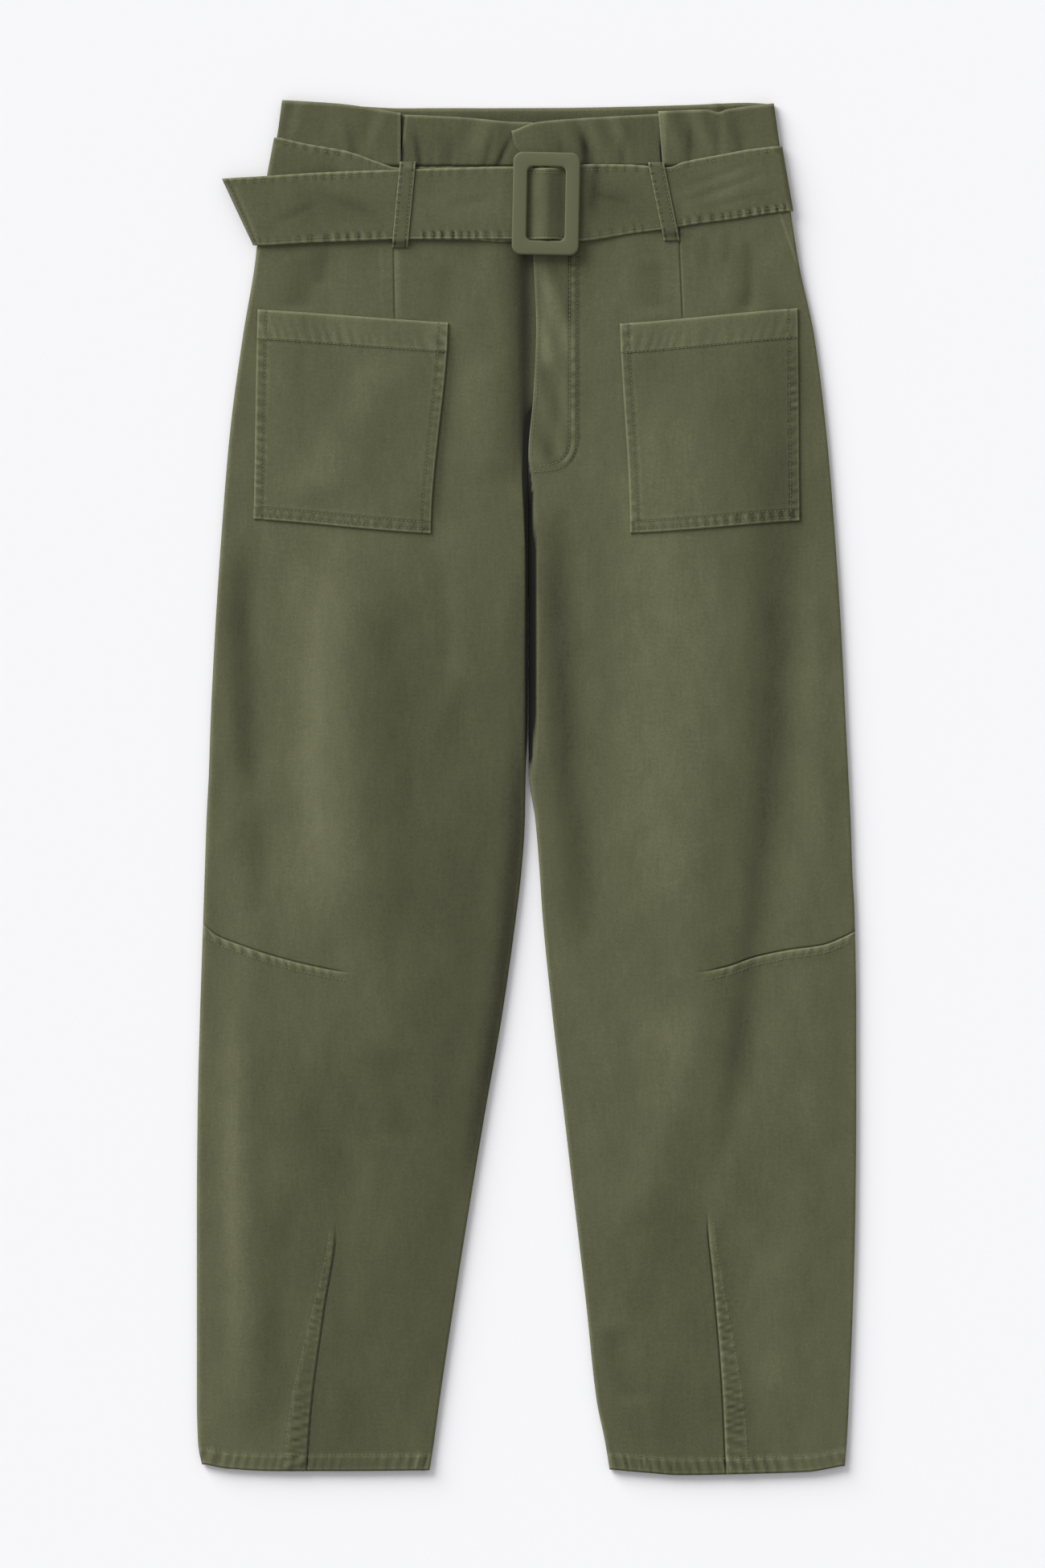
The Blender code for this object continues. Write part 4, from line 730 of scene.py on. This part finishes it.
# the belt, a row for each station: x and y of its upper edge, of its lower edge, and its middle's height
beltUp = dict(under=6.95, back=cut["beltWall"] / 2)
underRun = [
    (-4, 456, -4, 407.5, 7.35), (-20, 456.5, -20, 407, 7.1), (-40, 457, -40, 408.6, 6.95),
    (-70, 459.5, -69, 411.5, 6.95), (-97, 462, -97, 414.5, 6.95), (-112, 466.6, -112, 418.5, 7.1),
    (-133, 474, -133.5, 425, 6.95), (-165, 480, -171, 432, 6.95),
]
overRun = [
    (168, 476, 176, 427.5, 6.95), (147, 472.2, 154, 424, 6.95), (117, 466.3, 121.5, 419.7, 7.3),
    (104, 462.4, 107, 417, 7.2), (75, 464.4, 77, 413.1, 6.95), (55, 464.6, 56, 409.5, 7.6),
    (39.5, 464.4, 40, 407.5, 9.0), (28, 463, 28, 407.6, 9.2), (21.5, 461.6, 21.5, 408.6, 11.5),
    (14.5, 461.6, 14.5, 408.6, 13.75), (7.8, 461.6, 7.8, 408.6, 11.9), (1.6, 462, 1.6, 408.4, 9.2),
    (-11, 462.8, -11, 408.7, 9.0), (-30, 462.4, -30, 408.9, 8.7), (-57, 461.7, -57, 408.9, 8.55),
    (-95, 460.5, -95, 408.9, 8.55), (-125, 459.5, -122, 408, 8.55), (-160, 458, -152, 406.8, 8.55),
    (-195.3, 455.7, -176, 405.6, 8.55), (-212, 454.8, -193, 404.6, 8.2), (-227.5, 453.9, -204.2, 404.4, 6.9),
]
sideTurns = dict(right=(-188.7, 484.5, -197.7, 436.5), left=(190.5, 478.0, 198.9, 430.0))
bar = dict(x=14.5, up=10.5, thick=1.4)


def beltEnd():
    wrap = (bar["thick"] + cut["beltWall"]) / 2 + cut["seamGap"]
    stations = [(3.2, 459.5, 3.2, 408.6, 9.45), (9, 459.5, 9, 408.6, bar["up"] + wrap - 0.5)]
    for turn in np.linspace(0, math.pi, 9):
        x = bar["x"] + 1.8 + wrap * math.sin(turn)
        stations.append((x, 459.5, x, 408.6, bar["up"] + wrap * math.cos(turn)))
    return stations + [(9, 458, 9, 408, bar["up"] - wrap - 0.1), (3, 457, 3, 407.7, 7.75)]


def sideTurn(side):
    topX, topY, lowX, lowY = sideTurns[side]
    radius = (beltUp["under"] - beltUp["back"]) / 2
    outwards = math.copysign(1, topX)
    stations = []
    for turn in np.linspace(0, math.pi, 11):
        out = outwards * (radius * math.sin(turn) - radius - cut["beltWall"] / 2)
        stations.append((topX + out, topY, lowX + out, lowY, beltUp["back"] + radius * (1 + math.cos(turn))))
    return stations


def behind(x):  # upper and lower edge of the belt behind the garment
    first, last = sideTurns["right"], sideTurns["left"]
    share = (x - first[0]) / (last[0] - first[0])
    return first[1] * (1 - share) + last[1] * share, first[3] * (1 - share) + last[3] * share


def backRun():
    stations = []
    for x in (-168, -138, -108, -82, -74, -67, -53, -46, -38, -13, 13, 38, 46, 53, 67, 74, 82, 108, 138, 168):
        top, low = behind(x)
        overLoop = smooth(21, 8, abs(abs(x) - backLoops["x"]))
        stations.append((x, top, x * 1.03, low, beltUp["back"] + backLoops["lift"] * overLoop))
    return stations


beltStations = beltEnd() + underRun + sideTurn("right") + backRun() + sideTurn("left")[::-1] + overRun
overStart = len(beltStations) - len(overRun)
# the belt's width, the length of its mesh's cells, how far in from an edge its stitches are, in mm and as a
# share of the width, and how far the last two stations are apart at its middle
beltCloth = dict(wide=49.0, step=1.9, stitchIn=3.2, stitchShare=0.066, tipStep=14.0)


# soft creases in the belt: x and share of the width where each starts and ends, width and depth in mm
beltCreases = [
    (108, 188, 0.34, 0.66, 2.2, 0.5), (112, 176, 0.58, 0.84, 1.8, 0.4), (124, 196, 0.20, 0.36, 2.0, 0.35),
    (46, 86, 0.62, 0.40, 3.0, 0.4), (-20, -70, 0.60, 0.42, 3.2, 0.35), (-104, -160, 0.30, 0.72, 3.5, 0.35),
    (-150, -196, 0.60, 0.25, 3.0, 0.4),
]


def beltAt(along, across):  # x, y, z of the belt's middle; across 0 is its lower edge and 1 its upper
    topX, topY, lowX, lowY, up = [line(*enumerate(column))(along) for column in zip(*beltStations)]
    flat = smooth(5.6, 6.6, up)
    fromEdge = beltCloth["wide"] * np.minimum(across, 1 - across)
    x = lowX + (topX - lowX) * across
    y = lowY + (topY - lowY) * across
    seed = np.where(across > 0.5, 0.0, 2.0) + np.where(along > overStart, 0.0, 4.0)
    # it lies flat under the loops and the buckle
    held = smooth(15, 9, abs(x + 91.5)) + smooth(15, 9, abs(x - 102)) + smooth(34, 26, abs(x - 14.3))
    calm = flat * (1 - np.clip(held, 0, 1))
    puckered, row = pucker(x, seed, 7.8), crest(fromEdge - beltCloth["stitchIn"], 0.8)
    relief = 0.42 * within(fromEdge, 0, 1.5, 3.5, 8) * puckered - 0.22 * row - 0.3 * smooth(1.0, 0, fromEdge)
    uneven = np.sin(x / 23.0 + across * 2.2) * np.sin(x / 9.0 + across * 5)
    relief = relief + 0.4 * smooth(6, 20, fromEdge) * uneven
    # pale worn edges, the stitch rows painted darker as painted shade in their grooves, an uneven tone, and
    # puckers painted paler and darker with their relief as painted light and shade
    wearLightAndShade = flat * (0.9 * smooth(1.8, 0.6, fromEdge) - 0.75 * row
                   - 0.25 * smooth(4, 24, fromEdge) * np.sin(x / 31.0)
                   + (0.35 + 0.6 * smooth(0.6, 0.4, across)) * calm * smooth(7, 3.5, fromEdge) * puckered)
    # a darker band just right of the buckle: painted shade
    wearLightAndShade = wearLightAndShade - flat * (0.1 + 0.45 * smooth(0.1, 0.8, across) * crest(x - 46 - 6 * across, 4.5))
    # the creases are drawn in, and painted darker as painted shade
    for startX, endX, start, end, wide, deep in beltCreases:
        share = (x - startX) / (endX - startX)
        away = (across - start - (end - start) * share) * beltCloth["wide"]
        drawn = deep * within(share, 0, 0.35, 0.6, 1) * crest(away, wide)
        relief = relief - drawn
        wearLightAndShade = wearLightAndShade - 0.5 * flat * drawn
    fromTip = (len(beltStations) - 1 - along) * beltCloth["tipStep"]
    for at, strength, wide in ((1.0, 0.8, 1.2), (3.8, -0.6, 1.1), (6.2, 0.5, 1.3)):
        wearLightAndShade = wearLightAndShade + strength * crest(fromTip - at, wide)
    return x, y, up + relief * calm, wearLightAndShade


def belt():
    middles = np.array([((a + c) / 2, (b + d) / 2, up) for a, b, c, d, up in beltStations])
    steps = np.ceil(np.linalg.norm(np.diff(middles, axis=0), axis=1) / beltCloth["step"]).astype(int)
    along = spread(*np.maximum(steps, 2))[None, :]
    across = np.concatenate([[0, 0.02], np.linspace(0.045, 0.955, 21), [0.98, 1]])[:, None]
    along, across = np.broadcast_arrays(along, across)
    x, y, up, wearLightAndShade = beltAt(along, across)
    return clothPiece("tie_belt", "belt", x, y, up, cut["beltWall"], wearLightAndShade, slot="belt_twill", centred=True)


loopStitch = 0.33  # how far out from its middle a loop is stitched, as a share of its width
loopAt = dict(
    right=dict(node="belt_loop_right", top=(-88.8, 466.8), low=(-94.8, 402.7), up=8.55,
               climb=(403.5, 408.0), drop=(461.5, 466.5)),
    left=dict(node="belt_loop_left", top=(96.2, 465.9), low=(108.0, 407.7), up=7.3,
              climb=(409.5, 415.5), drop=(464.5, 465.8)),
)


def alongLoop(place, share, across):
    (topX, topY), (lowX, lowY) = place["top"], place["low"]
    return lowX + (topX - lowX) * share + backLoops["wide"] * across, lowY + (topY - lowY) * share


def loopFront(leg):
    place = loopAt[leg]
    half = [0, 0.15, 0.26, loopStitch, 0.4, 0.47, 0.5]  # close together at its stitches and edges
    across = np.array([-a for a in half[:0:-1]] + half)[None, :]
    share, across = np.broadcast_arrays(np.linspace(0, 1, 61)[:, None], across)
    x, y = alongLoop(place, share, across)
    lift = cut["seamGap"] + cut["loopWall"] / 2
    over = place["up"] + cut["beltWall"] / 2 + lift
    seat = cut["frontTop"] + cut["frontLift"] + lift
    topSeat = max(seat, pleat["floor"] + 2 * pleat["pitch"] + cut["frillWall"] / 2 + lift)
    climb, drop = smooth(*place["climb"], y), smooth(*place["drop"], y)
    out = abs(across)
    height = seat + (over - seat) * climb * (1 - drop) + (topSeat - seat) * drop
    height = height - 0.14 * crest(out - loopStitch, 0.06) - 0.15 * smooth(0.44, 0.5, out)
    # pale worn edges, the stitch lines painted darker as painted shade in their grooves, and puckers painted
    # paler and darker
    wearLightAndShade = 0.9 * smooth(0.38, 0.47, out) - 0.7 * crest(out - loopStitch, 0.05)
    wearLightAndShade = wearLightAndShade + 0.4 * smooth(0.1, 0.4, out) * pucker(y, 2.0 + np.sign(across), 5.5) - 0.2
    return clothPiece("loop_" + leg, place["node"], x, y, height, cut["loopWall"], wearLightAndShade, slot="belt_twill",
                      centred=True)


def loopBack(leg):
    middle = backLoops["x"] * legs[leg]["sign"]
    high, low = behind(middle)
    share = np.linspace(0, 1, 49)[:, None]
    across = np.linspace(-0.5, 0.5, 9)[None, :]
    share, across = np.broadcast_arrays(share, across)
    y = low - 6 + (high - low + 12) * share
    x = middle + backLoops["wide"] * across
    clear = smooth(low - 1, low - 6, y) + smooth(high + 1, high + 6, y)
    height = cut["loopWall"] / 2 + clear * (backHeight(y, x) - 2 * cut["seamGap"] - cut["loopWall"])
    return clothPiece("loop_at_back_" + leg, "belt_loop_back_" + leg, x, y, height, cut["loopWall"], 0 * x,
                      slot="belt_twill", centred=True)


buckleSize = dict(middle=(14.3, 435.1, 12.0), wide=50.0, tall=76.6, band=10.8, thick=3.6, corner=7.0,
                  innerCorner=4.2, edge=1.3, turn=-1.1, barHalf=1.5)


def buckle():  # a flat moulded frame with softly rounded edges, and its bar
    size = buckleSize
    edge = size["edge"]
    bm = bmesh.new()
    turned = Matrix.Rotation(math.radians(size["turn"]), 3, "Z")
    middle = Vector(size["middle"])
    rings = []
    for quarter, (inward, high) in enumerate([(1, 1), (0, 1), (0, 0), (1, 0)]):
        for around in np.linspace(0, math.pi / 2, 6) + quarter * math.pi / 2:
            inside = inward * (size["band"] - 2 * edge) + edge + edge * math.cos(around)
            up = high * (size["thick"] - 2 * edge) + edge + edge * math.sin(around) - size["thick"] / 2
            corner = size["corner"] - (size["corner"] - size["innerCorner"]) * inside / size["band"]
            halfWide, halfTall = size["wide"] / 2 - inside - corner, size["tall"] / 2 - inside - corner
            ring = []
            for side, (cx, cy) in enumerate([(1, 1), (-1, 1), (-1, -1), (1, -1)]):
                for turn in np.linspace(0, math.pi / 2, 13) + side * math.pi / 2:
                    spot = turned @ Vector((cx * halfWide + corner * math.cos(turn),
                                            cy * halfTall + corner * math.sin(turn), up))
                    ring.append(bm.verts.new((spot + middle) * mm))
            rings.append(ring)
    joinRings(bm, rings, rings[1:] + rings[:1])
    half = (size["barHalf"], (size["tall"] - size["band"]) / 2 - size["barHalf"], bar["thick"] / 2)
    for vert in bmesh.ops.create_cube(bm, size=2.0)["verts"]:
        spot = turned @ Vector([vert.co[k] * half[k] for k in range(3)])
        vert.co = (spot + Vector((middle.x, middle.y, bar["up"]))) * mm
    bmesh.ops.recalc_face_normals(bm, faces=bm.faces)
    return finishPiece(pieceFrom(bm, "buckle_frame"), mouldedBuckle, "buckle", "buckle")


# sewing thread: from one stitch to the next, its length, its half width, height and how deep it is drawn in
stitch = dict(first=0.6, pitch=3.0, long=2.2, wide=0.26, high=0.24, sunk=0.08, lift=0.1)


def stitchRow(path):  # where each stitch starts and ends along a row of points
    length = np.concatenate([[0], np.cumsum(np.linalg.norm(np.diff(path, axis=0), axis=1))])

    def at(run):
        return np.array([np.interp(run, length, path[:, k]) for k in range(3)])
    return [(at(run), at(run + stitch["long"]))
            for run in np.arange(stitch["first"], length[-1] - stitch["long"], stitch["pitch"])]


def sew(name, paths, slot):
    bm = bmesh.new()
    for start, end in [found for path in paths for found in stitchRow(path)]:
        along = (end - start) / np.linalg.norm(end - start)
        side = np.cross(along, (0, 0, 1))
        side = side / np.linalg.norm(side)
        up = np.cross(side, along)
        rings = []
        for share, size in ((0, 0.45), (0.2, 1), (0.8, 1), (1, 0.45)):
            centre = start + (end - start) * share
            ring = []
            for turn in np.linspace(0, math.pi, 5):
                sideways = side * stitch["wide"] * size * math.cos(turn)
                upwards = up * (stitch["high"] * size * math.sin(turn) - stitch["sunk"])
                ring.append(bm.verts.new((centre + sideways + upwards) * mm))
            rings.append(ring)
        joinRings(bm, rings, rings[1:])
        bm.faces.new(rings[0])
        bm.faces.new(reversed(rings[-1]))
    bmesh.ops.recalc_face_normals(bm, faces=bm.faces)
    return finishPiece(pieceFrom(bm, name), thread, slot)


def pathOn(surface, leg, s, y):  # a row of points on the face of a front panel or pocket
    s, y = np.broadcast_arrays(np.asarray(s, float), np.asarray(y, float))
    return np.column_stack([s * legs[leg]["sign"], y, surface(leg, s, y)[0] + stitch["lift"]])


def sewFront(leg):
    cutLine = legs[leg]
    s = np.linspace(float(cutLine["inseam"](-497)) + 2.5, float(cutLine["side"](-497)) - 3.5, 220)
    rows = [(s, cutLine["hem"](s) + cut["hemDepth"] - 0.4)]
    s = np.linspace(cutLine["kneeTip"] + 2, float(cutLine["side"](-115)) - 3.5, 160)
    rows.append((s, cutLine["kneeDart"](s) - 6.4))
    y = np.linspace(cutLine["dartTip"] - 6, -509, 220)
    rows.append((cutLine["hemDart"](y) + dartWide(leg, y) - 0.6, y))
    if leg == "left":  # down the straight of the fly and round its bend to the lap edge
        for inset in (0.0, fly["innerStitch"]):
            reach = 1 - inset / fly["reach"]
            bend = [(fly["wide"] * (reach * math.sin(t) ** 2 + 1e-9) ** (1 / 3),
                     fly["footY"] + fly["bend"] * (1 - (reach * math.cos(t) ** 2 + 1e-9) ** (1 / 3)))
                    for t in np.linspace(math.pi / 2, 0, 70)]
            straight = [(bend[0][0], y) for y in np.linspace(408, bend[0][1] + 0.5, 80)]
            rows.append(np.array([spot for spot in straight + bend if spot[0] > 3.5]).T)
        y = np.linspace(410, 248, 120)
        rows.append((lapEdge(y) + 2.4, y))
    return sew("thread_front_" + leg, [pathOn(frontSurface, leg, s, y) for s, y in rows], "twill")


def sewPocket(leg):
    cutLine = legs[leg]
    downwards, across = np.linspace(355, 202, 130), np.linspace(60, 204, 130)
    sides = pocketRows["sides"]
    # s and y of each row, and how far it keeps from the inner, outer, upper and lower edge
    rows = [(cutLine["pocketInner"](downwards) + sides, downwards, (0, 0, 1.5, 3)),
            (cutLine["pocketOuter"](downwards) - sides, downwards, (0, 0, 1.5, 3))]
    rows += [(across, cutLine["pocketFoot"](across) + inset, (5, 5, 0, 0)) for inset in pocketRows["foot"]]
    across = np.linspace(55, 205, 140)
    rows.append((across, cutLine["mouth"](across) - cut["pocketHem"], (1.5, 1.5, 0, 0)))
    paths = []
    for s, y, ends in rows:
        keep = np.all([away > end for away, end in zip(pocketAway(leg, s, y), ends)], axis=0)
        paths.append(pathOn(pocketSurface, leg, s[keep], y[keep]))
    return sew("thread_pocket_" + leg, paths, "twill")


def sewBelt():
    last = len(beltStations) - 1
    rows = [(np.linspace(start, end, 420), np.full(420, across))
            for start, end in ((11.3, 22.5), (overStart - 4.5, last - 0.15))
            for across in (beltCloth["stitchShare"], 1 - beltCloth["stitchShare"])]
    rows.append((np.full(60, last - 0.25), np.linspace(0.08, 0.92, 60)))  # across the tip
    paths = []
    for along, across in rows:
        x, y, up, _ = beltAt(along, across)
        paths.append(np.column_stack([x, y, up + cut["beltWall"] / 2 + stitch["lift"]])[up > 6.6])
    return sew("thread_belt", paths, "belt_twill")


def sewLoops():
    paths = []
    for place in loopAt.values():
        over = place["up"] + cut["beltWall"] / 2 + cut["seamGap"] + cut["loopWall"]
        for across in (-loopStitch, loopStitch):
            y = np.linspace(place["climb"][1] + 0.5, place["drop"][0] - 0.5, 60)
            share = (y - place["low"][1]) / (place["top"][1] - place["low"][1])
            x, y = alongLoop(place, share, across)
            paths.append(np.column_stack([x, y, np.full(y.shape, over - 0.12)]))
    return sew("thread_loops", paths, "belt_twill")


def feed(tree, node, *inputs):  # (name or number of an input, its value or the socket it comes from)
    for name, given in inputs:
        if isinstance(given, bpy.types.NodeSocket):
            tree.links.new(node.inputs[name], given)
        else:
            node.inputs[name].default_value = given


def addNode(tree, kind, *inputs, out=0, **settings):  # gives the socket that carries its result
    node = tree.nodes.new("ShaderNode" + kind)
    for name, value in settings.items():
        setattr(node, name, value)
    feed(tree, node, *inputs)
    return node.outputs[out]


def newMaterial(name):
    made = bpy.data.materials.new(name)
    made.use_nodes = True
    return made, made.node_tree, made.node_tree.nodes["Principled BSDF"]


clothLook = dict(
    # the deepest tone is near black, for painted shade in the deep gaps between the legs
    tones=((0.0, "12120b"), (0.3, "4a4b35"), (0.55, "5a5b42"), (1.0, "787a5d")), wornLitAndShaded=0.42,
    # what makes the tone uneven, yarn, warp, weft and dye: size in mm, stretch, detail, roughness, share
    noises=((1.7, (1, 1, 1), 2.0, 0.6, 0.30), (2.2, (1, 0.14, 1), 2.0, 0.6, 0.15),
            (2.2, (0.14, 1, 1), 2.0, 0.6, 0.07), (22.0, (1, 0.45, 1), 3.0, 0.55, 0.27)),
    twillMm=1.25, twillAngle=58.0, ribShare=0.6, bump=0.2, bumpMm=0.4,
    roughness=0.88, specular=0.18, sheen=0.10, sheenRoughness=0.5,
)


def clothMaterial(name):
    # washed cotton twill: matt, a fine diagonal rib, faintly cloudy dye, paler along worn edges; the
    # per-point attribute it reads carries that wear, and also painted shade in creases, gaps and under folds
    # and painted light on ridges
    made, tree, shader = newMaterial(name)
    look = clothLook
    place = addNode(tree, "TexCoord", out="Object")
    wornLitAndShaded = addNode(tree, "Attribute", out="Fac", attribute_name="wearLightAndShade")
    tone, grains = 0.0, []  # the tone: 0 is deep, 0.5 mid and 1 pale
    for size, stretch, detail, roughness, share in look["noises"]:
        mapped = addNode(tree, "Mapping", ("Vector", place), ("Scale", stretch))
        grains.append(addNode(tree, "TexNoise", ("Vector", mapped), ("Scale", 1000 / size),
                              ("Detail", detail), ("Roughness", roughness)))
        centred = addNode(tree, "Math", (0, grains[-1]), (1, 0.5), operation="SUBTRACT")
        tone = addNode(tree, "Math", (0, centred), (1, share), (2, tone), operation="MULTIPLY_ADD")
    # the unevenness fades where the deepest painted shade lies, in the deepest creases and gaps
    lit = addNode(tree, "MapRange", ("Value", wornLitAndShaded), ("From Min", -1.1), ("From Max", -0.2), ("To Min", 0.15),
                  ("To Max", 1.0))
    tone = addNode(tree, "Math", (0, tone), (1, lit), (2, 0.5), operation="MULTIPLY_ADD")
    tone = addNode(tree, "Math", (0, wornLitAndShaded), (1, look["wornLitAndShaded"]), (2, tone), operation="MULTIPLY_ADD")
    colour = addNode(tree, "ValToRGB", (0, tone))
    stops = colour.node.color_ramp.elements
    for position, _ in look["tones"][1:-1]:
        stops.new(position)
    for stop, (_, hexColour) in zip(stops, look["tones"]):
        stop.color = (*linear(hexColour), 1)

    aslant = (0, 0, math.radians(look["twillAngle"]))
    turned = addNode(tree, "Mapping", ("Vector", place), ("Rotation", aslant))
    ribs = 2 * math.pi / 20 / (look["twillMm"] * mm)
    rib = addNode(tree, "TexWave", ("Vector", turned), ("Scale", ribs), ("Distortion", 1.4), ("Detail", 1.0),
                  ("Detail Scale", 1.5), out="Fac", wave_type="BANDS", bands_direction="X")
    height = addNode(tree, "Math", (0, rib), (1, look["ribShare"]), (2, grains[0]), operation="MULTIPLY_ADD")
    bump = addNode(tree, "Bump", ("Height", height), ("Strength", look["bump"]),
                   ("Distance", look["bumpMm"] * mm))
    feed(tree, shader, ("Base Color", colour), ("Normal", bump), ("Roughness", look["roughness"]),
         ("Specular IOR Level", look["specular"]), ("Sheen Weight", look["sheen"]),
         ("Sheen Roughness", look["sheenRoughness"]))
    return made


def plainMaterial(name, colour, roughness, grainMm, bumpMm):
    made, tree, shader = newMaterial(name)
    place = addNode(tree, "TexCoord", out="Object")
    grain = addNode(tree, "TexNoise", ("Vector", place), ("Scale", 1000 / grainMm), ("Detail", 2.0))
    bump = addNode(tree, "Bump", ("Height", grain), ("Strength", 0.3), ("Distance", bumpMm * mm))
    feed(tree, shader, ("Base Color", (*linear(colour), 1)), ("Roughness", roughness), ("Normal", bump))
    return made


twill = clothMaterial("washed olive cotton twill")
# spun polyester, dyed to the cloth and a little paler, so that each stitch just shows
thread = plainMaterial("spun olive sewing thread", "66674d", 0.8, 0.5, 0.05)
# resin moulded with a matt skin: smoother than the cloth, with a soft and wide gleam along its edges
mouldedBuckle = plainMaterial("moulded matt olive resin", "56583c", 0.78, 1.2, 0.05)

# make everything

fronts, pockets, backs, bands, frillPieces = [
    {leg: make(leg) for leg in legs} for make in (frontPanel, pocket, backPanel, bandFront, frillFront)]
bandBack, frillBack = backBandAndFrill()
beltPiece = belt()
loops, loopsBack = [{leg: make(leg) for leg in legs} for make in (loopFront, loopBack)]
buckle()
threads, pocketThreads = [{leg: make(leg) for leg in legs} for make in (sewFront, sewPocket)]
beltThread = sewBelt()
sewLoops()


# a leg panel laid flat: where its hem then is, what its rolled edges add to its width, and its length
laidOut = dict(foot=-525.0, edges=6.0, long=0.942)


def panelCut(leg):  # width, length and area
    y = np.linspace(laidOut["foot"], cut["waistY"], 400)
    wide = legs[leg]["side"](y) - legs[leg]["inseam"](y) + laidOut["edges"]
    area = float(np.sum((wide[1:] + wide[:-1]) / 2 * np.diff(y)))
    return (float(wide.max()) * mm, laidOut["long"]), area * mm * mm


for leg in legs:
    flat, area = panelCut(leg)

# a pale floor, an even sky and a soft light from the upper left

room = dict(floor="f2f2f4", floorSize=24.0, floorUp=-0.0003, sky=0.54, skyColour="fafafb", sun=4.25,
            sunAngle=42.0, sunFrom=(-0.68, 0.70, 0.42))
view = dict(at=(-0.0033, 0.0027, 8.0), high=1.17, sensor=36, reach=20)  # a long lens straight above
bpy.ops.mesh.primitive_plane_add(size=room["floorSize"], location=(0, 0, room["floorUp"]))
floor = bpy.context.object
floor.name = "floor"
# coated paper: matt and even, so that nothing but the soft shadow shows on it
floor.data.materials.append(plainMaterial("pale matt paper", room["floor"], 0.9, 50.0, 0.0))

world = bpy.context.scene.world or bpy.data.worlds.new("sky")
bpy.context.scene.world = world
world.use_nodes = True
feed(world.node_tree, world.node_tree.nodes["Background"], ("Color", (*linear(room["skyColour"]), 1)),
     ("Strength", room["sky"]))

sun = bpy.data.objects.new("key light", bpy.data.lights.new("key light", "SUN"))
bpy.context.scene.collection.objects.link(sun)
sun.data.energy = room["sun"]
sun.data.angle = math.radians(room["sunAngle"])
sun.rotation_euler = Vector(room["sunFrom"]).to_track_quat("Z", "Y").to_euler()

camera = bpy.data.objects.new("camera", bpy.data.cameras.new("camera"))
bpy.context.scene.collection.objects.link(camera)
camera.location = view["at"]
camera.data.sensor_fit = "VERTICAL"
camera.data.sensor_height = view["sensor"]
camera.data.lens = view["sensor"] * view["at"][2] / view["high"]
camera.data.clip_end = view["reach"]
bpy.context.scene.camera = camera
bpy.context.scene.view_settings.view_transform = "Standard"
